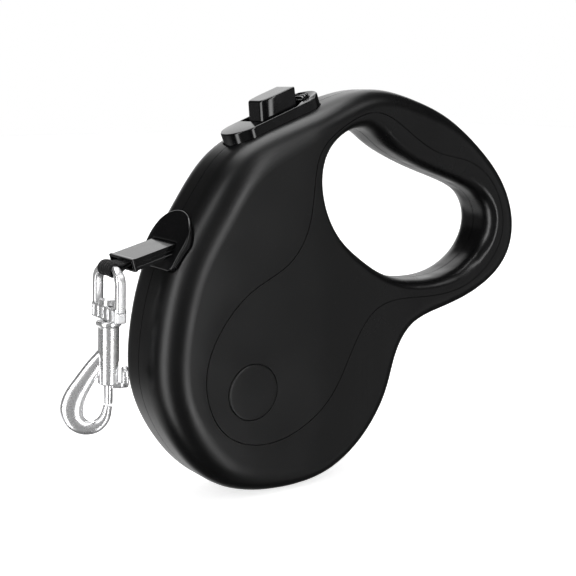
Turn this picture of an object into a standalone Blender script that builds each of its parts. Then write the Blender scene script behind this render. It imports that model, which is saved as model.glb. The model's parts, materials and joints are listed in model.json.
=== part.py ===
"""Retractable pet leash: a flat tape on a sprung spool, a housing with a loop handle, and a swivel bolt snap.

Frame: metres, +Z up, -X the way the tape leaves, -Y the left side.
The origin is the middle of the hand grip.
Outlines are drawn in the side plane, as (x, z) from the drum's axis.
"""

import math

import bmesh
import bpy
import numpy as np
from mathutils import Matrix, Vector

MM = 0.001

# Housing
GRIP_TO_DRUM = (-90.0 * MM, -74.0 * MM)  # the drum's axis from the grip, along X and Z
DRUM_RADIUS = 57.5 * MM
BODY_HALF = 18.0 * MM  # half the thickness at the drum
GRIP_HALF = 11.2 * MM  # half the thickness at the handle
DRUM_EDGE = 12.0 * MM  # round between rim and side, at the drum
GRIP_EDGE = 8.3 * MM  # and at the handle
EDGE_STEPS = 4  # facets of each round
HOLE_EDGE = 5.0 * MM  # round at the finger opening, in the side's plane
HOLE_DEEP = 12.0 * MM  # and through the grip
WALL = 2.2 * MM
FLOOR_WALL = 1.8 * MM  # housing wall under a side panel
PANEL = 1.2 * MM  # side panel's thickness
GAP = 0.3 * MM  # between pieces that meet
TAPER = (9.0 * MM, 69.0 * MM)  # the thickness narrows between these x
EDGE_TAPER = (-15.0 * MM, 22.0 * MM)  # and the edge's round between these

# The drum's rim: (degrees from +X, how far the rim stands beyond DRUM_RADIUS)
DRUM_RIM = (
    (177, 0.9 * MM),
    (196, 0.4 * MM),
    (217, -0.4 * MM),
    (240, -0.3 * MM),
    (266, -1.6 * MM),
    (290, -0.6 * MM),
    (314, 1.4 * MM),
    (335, 2.7 * MM),
)
# The neck, the handle's outside and the shoulder down to the mouth
HANDLE_RIM = [
    (x * MM, z * MM)
    for x, z in (
        (60.1, -10.6),
        (69.4, 1.1),
        (87.8, 6.8),
        (108.6, 13.1),
        (124.8, 25.5),
        (128.7, 43.3),
        (121.1, 61.7),
        (107.1, 76.2),
        (89.0, 88.9),
        (69.0, 97.0),
        (45.0, 101.1),
        (21.7, 95.9),
        (-1.8, 87.9),
        (-22.3, 77.8),
        (-38.4, 57.9),
        (-51.3, 35.9),
    )
]
# The finger opening, with the swell between the first two fingers
FINGER_HOLE = [
    (x * MM, z * MM)
    for x, z in (
        (40.1, 85.7),
        (52.0, 79.1),
        (67.4, 71.0),
        (82.8, 65.2),
        (99.7, 58.8),
        (107.9, 52.4),
        (111.0, 43.1),
        (105.7, 31.6),
        (89.2, 22.5),
        (68.9, 21.4),
        (52.8, 25.4),
        (36.1, 35.3),
        (20.6, 50.9),
        (18.6, 76.0),
    )
]
# The side panel's outer edge, from the top of the opening down round the drum and back along the handle
PANEL_EDGE = [
    (x * MM, z * MM)
    for x, z in (
        (20.0, 84.8),
        (10.8, 74.6),
        (7.4, 53.0),
        (-2.5, 36.4),
        (-20.1, 27.0),
        (-35.7, 10.3),
        (-39.9, -6.9),
        (-32.0, -25.5),
        (-9.6, -32.6),
        (15.6, -20.9),
        (28.2, -3.6),
        (44.0, 12.8),
        (72.5, 14.4),
        (97.7, 17.4),
        (114.0, 29.6),
        (118.2, 43.0),
        (111.5, 60.0),
        (96.0, 70.6),
        (77.5, 75.2),
        (58.0, 86.2),
        (40.3, 92.0),
    )
]
BADGE_PLACE = (-19.7 * MM, -11.3 * MM)
BADGE_RADIUS = 10.8 * MM
BADGE_THICK = 1.0 * MM
BADGE_PROUD = 0.5 * MM

# Screws that join the halves: (x, z) of each
SCREW_RING = 51.2 * MM  # those round the drum lie on this radius
SCREW_PLACES = [
    (SCREW_RING * math.cos(math.radians(turn)), SCREW_RING * math.sin(math.radians(turn)))
    for turn in (200, 262, 322)
] + [(-33.0 * MM, 52.0 * MM), (98.5 * MM, 18.0 * MM), (68.0 * MM, 84.0 * MM)]
SCREW_RADIUS = 1.3 * MM
SCREW_HEAD = 2.4 * MM
SCREW_HEAD_THICK = 1.8 * MM
SCREW_SEAT = 5.0 * MM  # the head's seat, from the middle plane
SCREW_REACH = 7.5 * MM  # the thread's reach into the left half
POST_WALL = 2.1 * MM
TRIM_STEPS = 2  # facets of the rounds inside the walls

# Tape and spool
TAPE_LENGTH = 5000.0 * MM
TAPE_THICK = 0.95 * MM
TAPE_WIDTH = 15.0 * MM
HUB_RADIUS = 20.0 * MM
HUB_WALL = 1.4 * MM
FLANGE_RADIUS = 45.9 * MM
FLANGE_THICK = 1.5 * MM
SIDE_PLAY = 0.6 * MM  # between tape and flange
TEETH = 24
TOOTH_DEPTH = 1.7 * MM
AXLE_RADIUS = 3.0 * MM
ARBOR_RADIUS = 5.2 * MM
BUSH_RADIUS = 7.0 * MM
BUSH_THICK = 2.0 * MM
SOCKET_DEPTH = 2.2 * MM  # the axle's seat in each half
SPRING_STRIP = 0.6 * MM
SPRING_TURNS = 5
SPRING_WIDTH = 12.0 * MM

# Mouth, guide roller, end sleeve and loop
MOUTH_TURN = 137.0  # degrees round the drum's axis from +X
EXIT_PITCH = 14.0  # degrees below the horizontal
ROLLER_RADIUS = 3.0 * MM
PIN_RADIUS = 1.2 * MM
ROLLER_BACK = 8.0 * MM  # from the mouth back to the roller
PIN_SEAT = 2.6 * MM  # of the roller's pin in each half
SLEEVE_WIDTH = 18.0 * MM
SLEEVE_HIGH = 4.85 * MM
SLEEVE_WALL = 1.0 * MM
SLEEVE_OUT = 17.4 * MM  # beyond the mouth
SLEEVE_IN = 4.0 * MM  # inside the mouth
LOOP_WIDTH = 9.6 * MM
LOOP_THICK = 1.3 * MM  # of the tape rolled round the eye
LOOP_LEAD = 5.0 * MM  # from the sleeve's end to the eye's bar
LOOP_PLAY = 0.35 * MM  # round the bar
BEZEL_HALF = 14.0 * MM
BEZEL_ABOVE = 15.5 * MM
BEZEL_BELOW = 8.0 * MM
BEZEL_FOOT_IN = 1.2 * MM  # the flat foot is narrower by this at each side
BEZEL_CORNER = 3.0 * MM
BEZEL_PROUD = 0.9 * MM
BEZEL_SUNK = 0.7 * MM

# Button tray, thumb button and lock slider; along the tray, (-) is forward
TRAY_TURN = 89.1  # degrees round the drum's axis from +X
TRAY_TILT = 20.5  # degrees, its rear end up
TRAY_LONG = 44.0 * MM
TRAY_HALF = 9.0 * MM
TRAY_WALL = 0.9 * MM
WELL_FRONT = -8.6 * MM  # the well's flat front end
WELL_NARROWS = 8.0 * MM  # its sides close in from here
CHANNEL_FROM = 12.5 * MM  # to here, where the lock slider's channel starts
TRAY_RIM = 3.4 * MM  # above the deck
TRAY_SUNK = 3.2 * MM  # below it
TRAY_FLOOR = 1.6 * MM
TRAY_BEVEL = 0.5 * MM
COLLAR_DEEP = 1.4 * MM  # the housing's shelf under the tray
COLLAR_LAND = 2.0 * MM  # the shelf's width round the shaft for the stem
BUTTON_FRONT = -7.6 * MM
BUTTON_REAR = 9.9 * MM
BUTTON_HALF = 6.0 * MM
BUTTON_TOP = 10.2 * MM
BUTTON_WALL = 1.5 * MM
BUTTON_RAKE = 2.4 * MM
BUTTON_CHAMFER = 1.4 * MM
BUTTON_BEVEL = 0.7 * MM
BUTTON_PRESS = 3.0 * MM
STEM_RADIUS = 2.0 * MM
STEM_AHEAD = 1.25 * MM  # of the button's middle
STEM_LONG = 23.5 * MM  # below the deck
CLIP_RADIUS = 4.0 * MM
CLIP_THICK = 1.0 * MM
LOCK_FRONT = 13.4 * MM
LOCK_LONG = 5.4 * MM
LOCK_HALF = 4.6 * MM
LOCK_TOP = 5.0 * MM
LOCK_TRAVEL = 2.5 * MM
LOCK_LEG = 2.4 * MM
LEG_SET = 0.6 * MM  # the leg from the slider's front
LEG_HALF = 2.0 * MM
NOSE_REACH = 1.2 * MM  # from the clip's edge to the nose
RIBS = 4
RIB_HIGH = 0.8 * MM

# Brake pawl
PAWL_PIVOT = (-20.0 * MM, 60.0 * MM)
PAWL_THICK = 3.8 * MM
PAWL_ARM = 4.4 * MM
PAWL_TURN_AT = 78.8  # degrees round the drum's axis, where the pressed tooth lies
PAWL_TIP = 2.6 * MM
PAWL_SEAT = 1.6 * MM  # of its pin in each half
PAWL_PLAY = 0.2 * MM  # its inner face from the flange's inner face
COIL_WIRE = 0.35 * MM  # half the wire of the button's and pawl's springs

# Swivel bolt snap, hanging from the loop
WIRE = 1.3 * MM  # half the eye's wire
LEG_DEEP = 1.9 * MM  # half the depth of the eye's legs, which are flat sided
LEG_FROM = (4.5 * MM, 8.5 * MM)  # the bar deepens into the legs between these
EYE_HALF = 9.0 * MM  # from the middle to each leg's middle
EYE_CORNER = 5.6 * MM
EYE_BELOW = 13.6 * MM  # loop bar to the top of the eye's block
BLOCK_HIGH = 5.2 * MM
BLOCK_DEEP = 4.8 * MM
BLOCK_HALF = 9.8 * MM
STUD_RADIUS = 1.5 * MM
STUD_HEAD = 3.3 * MM
STUD_HEAD_THICK = 2.0 * MM
COLLAR_RADIUS = 4.6 * MM
COLLAR_HIGH = 2.0 * MM
BARREL_RADIUS = 3.8 * MM
BARREL_LONG = 21.5 * MM
BOLT_RADIUS = 1.6 * MM
BOLT_TRAVEL = 7.5 * MM
BOLT_SHOWS = 8.0 * MM  # from the barrel to the hook's tip
BORE_DEEP = 17.5 * MM
KNOB_RADIUS = 4.0 * MM
KNOB_THICK = 2.4 * MM
KNOB_OUT = 4.7 * MM
KNOB_STEM = 2.2 * MM
STEM_DROP = -1.6 * MM  # the knob's stem from the barrel's end
BOLT_GUIDED = 5.5 * MM  # the bolt's length in the barrel
BOLT_WIRE = 0.3 * MM  # half the wire of its spring
SNAP_BEVEL = 0.6 * MM
ARM_DEEP = 2.0 * MM  # half the hook arm's depth, at most
HANG_CLEAR = 13.05 * MM  # from the drum's rim to the snap's axis as it hangs
HOOK_YAW = -20.0  # degrees that the hook is turned on its swivel

MATERIALS = {
    "housing": ((0.012, 0.012, 0.013), 0.42, 0.0),
    "panel": ((0.011, 0.011, 0.012), 0.48, 0.0),
    "gloss": ((0.01, 0.01, 0.011), 0.15, 0.0),
    "webbing": ((0.015, 0.015, 0.016), 0.85, 0.0),
    "spool": ((0.75, 0.75, 0.72), 0.45, 0.0),
    "steel": ((0.6, 0.6, 0.62), 0.3, 1.0),
    "chrome": ((0.85, 0.85, 0.86), 0.08, 1.0),
}


# ---- Shapes ----


def material(name):
    """The Principled material of that name."""
    if name in bpy.data.materials:
        return bpy.data.materials[name]
    colour, roughness, metallic = MATERIALS[name]
    made = bpy.data.materials.new(name)
    made.use_nodes = True
    shader = made.node_tree.nodes["Principled BSDF"]
    shader.inputs["Base Color"].default_value = (*colour, 1.0)
    shader.inputs["Roughness"].default_value = roughness
    shader.inputs["Metallic"].default_value = metallic
    return made


class Frame:
    """A place with two axes in its plane, a and b, and its normal."""

    def __init__(self, origin, a, b):
        self.origin = Vector(origin)
        self.a = Vector(a).normalized()
        self.b = Vector(b).normalized()
        self.normal = self.a.cross(self.b)

    def point(self, a, b, high):
        return self.origin + self.a * a + self.b * b + self.normal * high

    def moved(self, a, b, high=0.0):
        return Frame(self.point(a, b, high), self.a, self.b)


def world(x, z, y=0.0):
    """A point given in the side plane from the drum's axis."""
    return Vector((x + GRIP_TO_DRUM[0], y, z + GRIP_TO_DRUM[1]))


def side_frame(x=0.0, z=0.0):
    """The side plane seen from the left; its normal is -Y."""
    return Frame(world(x, z), (1, 0, 0), (0, 0, 1))


def add_object(name, verts, faces, slot="housing"):
    """An object whose closed mesh faces outwards."""
    mesh = bpy.data.meshes.new(name)
    mesh.from_pydata([tuple(v) for v in verts], [], faces)
    work = bmesh.new()
    work.from_mesh(mesh)
    bmesh.ops.recalc_face_normals(work, faces=work.faces)
    work.to_mesh(mesh)
    work.free()
    made = bpy.data.objects.new(name, mesh)
    bpy.context.collection.objects.link(made)
    finish(made, slot)
    return made


def finish(made, slot):
    made.data.materials.clear()
    made.data.materials.append(material(slot))
    made.data.shade_smooth()
    made.data.set_sharp_from_angle(angle=math.radians(35))


def combine(made, tool, operation):
    """Cuts, joins or intersects two solids; the tool is used up."""
    step = made.modifiers.new(operation.lower(), "BOOLEAN")
    step.operation = operation
    step.object = tool
    step.solver = "EXACT"
    depsgraph = bpy.context.evaluated_depsgraph_get()
    mesh = bpy.data.meshes.new_from_object(made.evaluated_get(depsgraph))
    made.modifiers.clear()
    made.data = mesh
    bpy.data.objects.remove(tool)
    finish(made, mesh.materials[0].name)
    return made


def copy_of(made):
    twin = made.copy()
    twin.data = made.data.copy()
    bpy.context.collection.objects.link(twin)
    return twin


def rings_to_solid(name, rings, slot, closed=False):
    """Joins rings of points, each with as many points; the ends are filled unless the rings close up."""
    size = len(rings[0])
    count = len(rings)
    verts = [p for ring in rings for p in ring]
    faces = []
    for r in range(count if closed else count - 1):
        first = r * size
        second = (r + 1) % count * size
        for k in range(size):
            after = (k + 1) % size
            faces.append((first + k, first + after, second + after, second + k))
    if not closed:
        faces.append(tuple(range(size)))
        faces.append(tuple(range((count - 1) * size, count * size)))
    return add_object(name, verts, faces, slot)


def prism(name, loop, frame, low, high, slot="housing", chamfer=0.0):
    """A closed outline pushed along the frame's normal, with a chamfer on its high edge if given."""
    steps = [(loop, low), (loop, high - chamfer)]
    if chamfer:
        steps.append((grown(loop, -chamfer), high))
    rings = [[frame.point(a, b, level) for a, b in outline] for outline, level in steps]
    return rings_to_solid(name, rings, slot)


def turned(name, profile, frame, sides, slot="housing"):
    """A closed profile of (radius, height) turned round the frame's normal; radius 0 is on the axis."""
    verts = []
    rows = []
    for radius, height in profile:
        if radius == 0.0:
            rows.append([len(verts)] * sides)
            verts.append(frame.point(0, 0, height))
            continue
        rows.append(list(range(len(verts), len(verts) + sides)))
        for k in range(sides):
            turn = 2 * math.pi * k / sides
            verts.append(frame.point(radius * math.cos(turn), radius * math.sin(turn), height))
    faces = []
    for r, row in enumerate(rows):
        after = rows[(r + 1) % len(rows)]
        for k in range(sides):
            corners = (row[k], row[(k + 1) % sides], after[(k + 1) % sides], after[k])
            face = tuple(dict.fromkeys(corners))
            if len(face) > 2:
                faces.append(face)
    return add_object(name, verts, faces, slot)


def rod(name, radius, frame, low, high, sides=24, slot="housing"):
    return turned(name, [(0.0, low), (radius, low), (radius, high), (0.0, high)], frame, sides, slot)


def ring(name, inner, outer, frame, low, high, sides=32, slot="housing"):
    return turned(name, [(inner, low), (outer, low), (outer, high), (inner, high)], frame, sides, slot)


def tube(name, path, across, sides, slot, up):
    """A tube along a path; across gives (half width in the plane, half depth along up) at each point."""
    rings = []
    for k, point in enumerate(path):
        before = path[max(k - 1, 0)]
        after = path[min(k + 1, len(path) - 1)]
        side = (after - before).normalized().cross(up).normalized()
        wide, deep = across[k]
        rings.append(
            [
                point + side * wide * math.cos(turn) + up * deep * math.sin(turn)
                for turn in (2 * math.pi * n / sides for n in range(sides))
            ]
        )
    return rings_to_solid(name, rings, slot)


def coil(name, frame, radius, wire, low, high, turns, slot="steel"):
    """A compression spring along the frame's normal."""
    per_turn = 10
    sides = 4
    rings = []
    for k in range(turns * per_turn + 1):
        turn = 2 * math.pi * k / per_turn
        level = low + wire + (high - low - 2 * wire) * k / (turns * per_turn)
        out = frame.a * math.cos(turn) + frame.b * math.sin(turn)
        middle = frame.origin + out * radius + frame.normal * level
        corners = (2 * math.pi * n / sides for n in range(sides))
        section = (polar(wire, corner) for corner in corners)
        rings.append([middle + out * a + frame.normal * b for a, b in section])
    return rings_to_solid(name, rings, slot)


def polar(radius, turn):
    return (radius * math.cos(turn), radius * math.sin(turn))


def rectangle(a_low, a_high, b_low, b_high):
    return [(a_low, b_low), (a_high, b_low), (a_high, b_high), (a_low, b_high)]


def stadium(long, half, steps=10):
    """A slot's outline: two half rounds joined by straight sides."""
    loop = []
    for end in (1, -1):
        for k in range(steps + 1):
            a, b = polar(half, math.pi * (k / steps - 0.5))
            loop.append((end * (long / 2 - half + a), end * b))
    return loop


def grown(loop, distance):
    """An anticlockwise outline moved outwards; the distance may differ from point to point."""
    loop = np.array(loop, float)
    along = np.roll(loop, -1, axis=0) - loop
    along /= np.linalg.norm(along, axis=1)[:, None]
    after = np.stack([along[:, 1], -along[:, 0]], axis=1)
    before = np.roll(after, 1, axis=0)
    mitre = (before + after) / (1.0 + np.sum(before * after, axis=1))[:, None]
    return loop + mitre * (np.ones(len(loop)) * distance)[:, None]


def smooth_loop(points, count):
    """Evenly spaced points, anticlockwise, on the smoothest closed curve through the given ones."""
    p = np.array(points, float)
    n = len(p)
    step = np.linalg.norm(np.roll(p, -1, axis=0) - p, axis=1) ** 0.5
    system = np.zeros((n, n))
    for k in range(n):
        system[k, k - 1] += step[k - 1]
        system[k, k] += 2 * (step[k - 1] + step[k])
        system[k, (k + 1) % n] += step[k]
    slope = (np.roll(p, -1, axis=0) - p) / step[:, None]
    bend = np.linalg.solve(system, 6 * (slope - np.roll(slope, 1, axis=0)))
    dense = []
    for k in range(n):
        after = (k + 1) % n
        for t in np.linspace(0.0, step[k], 40, endpoint=False):
            rest = step[k] - t
            curve = (bend[k] * rest**3 + bend[after] * t**3) / (6 * step[k])
            line = (p[k] / step[k] - bend[k] * step[k] / 6) * rest
            dense.append(curve + line + (p[after] / step[k] - bend[after] * step[k] / 6) * t)
    dense = np.array(dense)
    x, z = dense.T
    if np.sum(x * np.roll(z, -1) - np.roll(x, -1) * z) < 0:
        dense = dense[::-1]
    ends = np.vstack([dense, dense[:1]])
    length = np.concatenate([[0.0], np.cumsum(np.linalg.norm(np.diff(ends, axis=0), axis=1))])
    wanted = np.linspace(0.0, length[-1], count, endpoint=False)
    return np.stack([np.interp(wanted, length, column) for column in ends.T], axis=1)


def blend(x, limits):
    """0 before the first limit, 1 after the second, and a smooth change between."""
    share = np.clip((x - limits[0]) / (limits[1] - limits[0]), 0.0, 1.0)
    return share * share * (3 - 2 * share)


# ---- Driving outlines and places ----

DRUM_LOOP = [polar(DRUM_RADIUS + stand, math.radians(turn)) for turn, stand in DRUM_RIM]
RIM_LOOP = smooth_loop(DRUM_LOOP + HANDLE_RIM, 76)
HOLE_LOOP = smooth_loop(FINGER_HOLE, 40)
PANEL_LOOP = smooth_loop(PANEL_EDGE, 60)


def rim_at(turn):
    """Where the rim crosses the ray at that angle round the drum's axis, with its direction there."""
    ray = np.array([math.cos(math.radians(turn)), math.sin(math.radians(turn))])
    across = RIM_LOOP @ np.array([-ray[1], ray[0]])
    for k in range(len(RIM_LOOP)):
        after = (k + 1) % len(RIM_LOOP)
        if across[k] <= 0.0 < across[after] and RIM_LOOP[k] @ ray > 0:
            share = -across[k] / (across[after] - across[k])
            spot = RIM_LOOP[k] * (1 - share) + RIM_LOOP[after] * share
            way = RIM_LOOP[after] - RIM_LOOP[k]
            return spot, way / np.linalg.norm(way)
    raise ValueError("the rim does not cross that ray")


PACK_RADIUS = math.sqrt(HUB_RADIUS**2 + TAPE_LENGTH * TAPE_THICK / math.pi)
INNER_HALF = BODY_HALF - PANEL - GAP - FLOOR_WALL  # the hollow's half depth at the drum
FLANGE_IN = TAPE_WIDTH / 2 + SIDE_PLAY
FLANGE_OUT = FLANGE_IN + FLANGE_THICK
AXLE_SOCKET = INNER_HALF - SOCKET_DEPTH  # the sockets' mouths, from the middle plane
AXLE_END = INNER_HALF - GAP
SPOOL_BORE = AXLE_RADIUS + 1.5 * GAP
ROLLER_SOCKET = SLEEVE_WIDTH / 2 + 2.5 * GAP
ROLLER_PIN_END = ROLLER_SOCKET + PIN_SEAT
PAWL_SIDE = FLANGE_IN + PAWL_PLAY
PAWL_SOCKET = PAWL_SIDE + PAWL_THICK + GAP
PAWL_PIN_END = PAWL_SOCKET + PAWL_SEAT

MOUTH, MOUTH_WAY = rim_at(MOUTH_TURN)
EXIT = Vector((-math.cos(math.radians(EXIT_PITCH)), 0.0, -math.sin(math.radians(EXIT_PITCH))))
EXIT_UP = Vector((EXIT.z, 0.0, -EXIT.x))
EXIT_FRAME = Frame(world(*MOUTH), (0, -1, 0), EXIT_UP)  # its normal is EXIT
BEZEL_FRAME = Frame(world(*MOUTH), (0, -1, 0), (-MOUTH_WAY[0], 0.0, -MOUTH_WAY[1]))
LOOP_AHEAD = SLEEVE_OUT + LOOP_LEAD
LOOP_INNER = WIRE + LOOP_PLAY
SNAP_TOP = EXIT_FRAME.point(0.0, 0.0, LOOP_AHEAD)
SNAP_REACH = SNAP_TOP - world(0.0, 0.0)
# The snap leans so that its axis passes the drum at HANG_CLEAR
HANG_PAST = math.asin((DRUM_RADIUS + HANG_CLEAR) / SNAP_REACH.length)
HANG_LEAN = math.pi / 2 - math.atan2(SNAP_REACH.z, SNAP_REACH.x) + HANG_PAST
BLOCK_LOW = EYE_BELOW + BLOCK_HIGH
COLLAR_AT = BLOCK_LOW + GAP
BARREL_LOW = COLLAR_AT + COLLAR_HIGH + BARREL_LONG

DECK, _ = rim_at(TRAY_TURN)
TRAY_WAY = (math.cos(math.radians(TRAY_TILT)), math.sin(math.radians(TRAY_TILT)))
TRAY_FRAME = Frame(world(*DECK), (TRAY_WAY[0], 0.0, TRAY_WAY[1]), (0, 1, 0))
TRAY_BASE = -TRAY_SUNK + TRAY_FLOOR  # the well's floor
STEM_AT = (BUTTON_FRONT + BUTTON_REAR) / 2 - STEM_AHEAD
CLIP_HIGH = -TRAY_SUNK - 2 * GAP
LOCK_REAR = LOCK_FRONT + LOCK_LONG
LEG_FRONT = LOCK_FRONT + LEG_SET
COLLAR_LOW = -TRAY_SUNK - GAP - COLLAR_DEEP
NOSE_TOP = CLIP_HIGH - CLIP_THICK - GAP
NOSE_LOW = CLIP_HIGH - BUTTON_PRESS + GAP
NOSE_TIP = STEM_AT + CLIP_RADIUS + NOSE_REACH


# ---- Housing ----


def body_solid(name, rim_grow, hole_grow, half, edge_steps, hole_depth=HOLE_DEEP):
    """The housing's outer form with its rim, opening and faces moved; positive distances add material."""
    rim = grown(RIM_LOOP, rim_grow)
    hole = grown(HOLE_LOOP, -hole_grow)
    rim_edge = DRUM_EDGE + (GRIP_EDGE - DRUM_EDGE) * blend(rim[:, 0], EDGE_TAPER) + rim_grow
    rim_depth = DRUM_EDGE + rim_grow
    hole_edge = max(HOLE_EDGE + hole_grow, 2 * GAP)
    hole_deep = max(hole_depth + hole_grow, 2 * GAP)
    levels = [math.pi / 2 * k / edge_steps for k in range(edge_steps + 1)]
    rows = []
    for side in (-1, 1):
        for angle in levels if side == 1 else levels[::-1]:
            rim_row = grown(rim, -rim_edge * (1 - math.cos(angle)))
            hole_row = grown(hole, hole_edge * (1 - math.cos(angle)))
            rim_y = side * (half - rim_depth * (1 - math.sin(angle)))
            hole_y = side * (half - hole_deep * (1 - math.sin(angle)))
            rows.append((rim_row, rim_y, hole_row, hole_y))
    work = bmesh.new()
    loops = []
    for rim_row, rim_y, hole_row, hole_y in rows:
        loops.append(
            (
                [work.verts.new(world(x, z, rim_y)) for x, z in rim_row],
                [work.verts.new(world(x, z, hole_y)) for x, z in hole_row],
            )
        )
    for row, after in zip(loops, loops[1:]):
        for first, second in zip(row, after):
            for k in range(len(first)):
                n = (k + 1) % len(first)
                work.faces.new((first[k], first[n], second[n], second[k]))
    for row in (loops[0], loops[-1]):
        edges = []
        for loop in row:
            edges += [work.edges.get((loop[k - 1], loop[k])) for k in range(len(loop))]
        bmesh.ops.triangle_fill(work, use_beauty=True, edges=edges)
    slim_thickness(work)
    return object_from(work, name)


def slim_thickness(work):
    """Narrows the body's thickness from the drum's to the handle's."""
    steps = 6
    for k in range(steps + 1):
        x = TAPER[0] + (TAPER[1] - TAPER[0]) * k / steps
        geometry = work.verts[:] + work.edges[:] + work.faces[:]
        place = world(x, 0.0)
        bmesh.ops.bisect_plane(work, geom=geometry, dist=1e-7, plane_co=place, plane_no=(1, 0, 0))
    for vert in work.verts:
        share = float(blend(vert.co.x - GRIP_TO_DRUM[0], TAPER))
        vert.co.y *= 1 + (GRIP_HALF / BODY_HALF - 1) * share


def object_from(work, name, slot="housing"):
    bmesh.ops.recalc_face_normals(work, faces=work.faces)
    mesh = bpy.data.meshes.new(name)
    work.to_mesh(mesh)
    work.free()
    made = bpy.data.objects.new(name, mesh)
    bpy.context.collection.objects.link(made)
    finish(made, slot)
    return made


def half_space(name, side):
    """Everything on one side of the parting plane, less half the seam."""
    far = 4 * DRUM_RADIUS
    low = GAP / 2
    high = 2 * BODY_HALF
    if side == -1:
        return prism(name, rectangle(-far, far, -far, far), side_frame(), low, high)
    return prism(name, rectangle(-far, far, -far, far), side_frame(), -high, -low)


def join_all(pieces):
    """One object of several separate solids, as a tool for a cut or a join."""
    work = bmesh.new()
    for piece in pieces:
        work.from_mesh(piece.data)
    made = object_from(work, "tool")
    for piece in pieces:
        bpy.data.objects.remove(piece)
    return made


def both_sides(name, radius, x, z, near, far, sides=20):
    """A pair of pegs across the middle plane, from near to far on each side."""
    frame = side_frame(x, z)
    return [
        rod(name, radius, frame, near, far, sides),
        rod(name, radius, frame, -far, -near, sides),
    ]


def housing_posts():
    """Posts for screws, axle and pins, and the shelf under the tray, trimmed to the walls."""
    deep = BODY_HALF
    posts = []
    for x, z in SCREW_PLACES:
        posts.append(rod("post", SCREW_RADIUS + GAP + POST_WALL, side_frame(x, z), -deep, deep, 20))
    posts += both_sides("post", AXLE_RADIUS + GAP + POST_WALL, 0.0, 0.0, AXLE_SOCKET, deep, 24)
    roller_x, roller_z = roller_place()
    posts += both_sides("post", PIN_RADIUS + GAP + POST_WALL, roller_x, roller_z, ROLLER_SOCKET, deep)
    posts += both_sides("post", PIN_RADIUS + GAP + POST_WALL, *PAWL_PIVOT, PAWL_SOCKET, deep)
    outline = stadium(TRAY_LONG + 2 * WALL, TRAY_HALF + WALL)
    posts.append(prism("collar", outline, TRAY_FRAME, COLLAR_LOW, -WALL / 2))
    tool = join_all(posts)
    trim = body_solid("trim", -WALL / 2, -WALL / 2, BODY_HALF - WALL / 2, TRIM_STEPS)
    return combine(tool, trim, "INTERSECT")


def housing_cuts():
    """The tray's well, the mouth, and bores for screws, axle and pins."""
    far = 2 * BODY_HALF
    seat = grown(stadium(TRAY_LONG, TRAY_HALF), GAP)
    well = prism("well", seat, TRAY_FRAME, -TRAY_SUNK - GAP, 5 * TRAY_RIM)
    opening = stadium(TRAY_LONG - 2 * COLLAR_LAND, TRAY_HALF - COLLAR_LAND)
    shaft = prism("shaft", opening, TRAY_FRAME, 2 * COLLAR_LOW, 0.0)
    slot = prism("slot", grown(sleeve_outline(), 1.5 * GAP), EXIT_FRAME, -DRUM_EDGE, DRUM_EDGE)
    cuts = [combine(well, shaft, "UNION"), slot]
    for x, z in SCREW_PLACES:
        profile = [
            (0.0, -far),
            (SCREW_HEAD + GAP, -far),
            (SCREW_HEAD + GAP, -SCREW_SEAT),
            (SCREW_RADIUS + GAP, -SCREW_SEAT),
            (SCREW_RADIUS + GAP, SCREW_REACH + GAP),
            (0.0, SCREW_REACH + GAP),
        ]
        cuts.append(turned("bore", profile, side_frame(x, z), 20))
    cuts += both_sides("bore", AXLE_RADIUS + GAP, 0.0, 0.0, GAP, AXLE_END + GAP / 2, 24)
    cuts += both_sides("bore", PIN_RADIUS + GAP, *roller_place(), GAP, ROLLER_PIN_END + GAP)
    cuts += both_sides("bore", PIN_RADIUS + GAP, *PAWL_PIVOT, GAP, PAWL_PIN_END + GAP, 18)
    return cuts


def sleeve_outline():
    return rectangle(-SLEEVE_WIDTH / 2, SLEEVE_WIDTH / 2, -SLEEVE_HIGH / 2, SLEEVE_HIGH / 2)


def panel_prism(name, grow):
    """The side panel's outline as a block through both sides."""
    return prism(name, grown(PANEL_LOOP, grow), side_frame(), -2 * BODY_HALF, 2 * BODY_HALF)


def bezel_outline():
    """An arch over a flat foot with rounded corners; (-) is up along the rim."""
    loop = []
    middle = BEZEL_ABOVE - 0.9 * BEZEL_HALF
    for k in range(17):
        turn = math.pi * k / 16
        loop.append((BEZEL_HALF * math.cos(turn), middle + 0.9 * BEZEL_HALF * math.sin(turn)))
    foot = BEZEL_HALF - BEZEL_FOOT_IN - BEZEL_CORNER
    for side, start in ((-1, math.pi), (1, 1.5 * math.pi)):
        for k in range(5):
            a, b = polar(BEZEL_CORNER, start + math.pi / 2 * k / 4)
            loop.append((side * foot + a, b + BEZEL_CORNER - BEZEL_BELOW))
    return loop


def housing():
    """The two half shells with their seats."""
    shell = body_solid("shell", 0.0, 0.0, BODY_HALF, EDGE_STEPS)
    hole_wall = WALL + PANEL + GAP
    hollow = body_solid("hollow", -WALL, -hole_wall, INNER_HALF, TRIM_STEPS, HOLE_EDGE)
    combine(shell, hollow, "DIFFERENCE")
    combine(shell, housing_posts(), "UNION")
    for name, side in (("housing_left", -1), ("housing_right", 1)):
        half = copy_of(shell)
        half.name = name
        combine(half, half_space("half", side), "INTERSECT")
        for cut in housing_cuts():
            combine(half, cut, "DIFFERENCE")
        recess = panel_prism("recess", GAP)
        sunk = PANEL + GAP
        core = body_solid("core", -sunk, -sunk, BODY_HALF - sunk, EDGE_STEPS)
        combine(recess, core, "DIFFERENCE")
        combine(half, recess, "DIFFERENCE")
        seat = prism("seat", grown(bezel_outline(), GAP), BEZEL_FRAME, -DRUM_EDGE, DRUM_EDGE)
        sunk = BEZEL_SUNK + GAP
        core = body_solid("core", -sunk, -sunk, BODY_HALF - sunk, EDGE_STEPS)
        combine(seat, core, "DIFFERENCE")
        combine(half, seat, "DIFFERENCE")
    bpy.data.objects.remove(shell)


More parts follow.
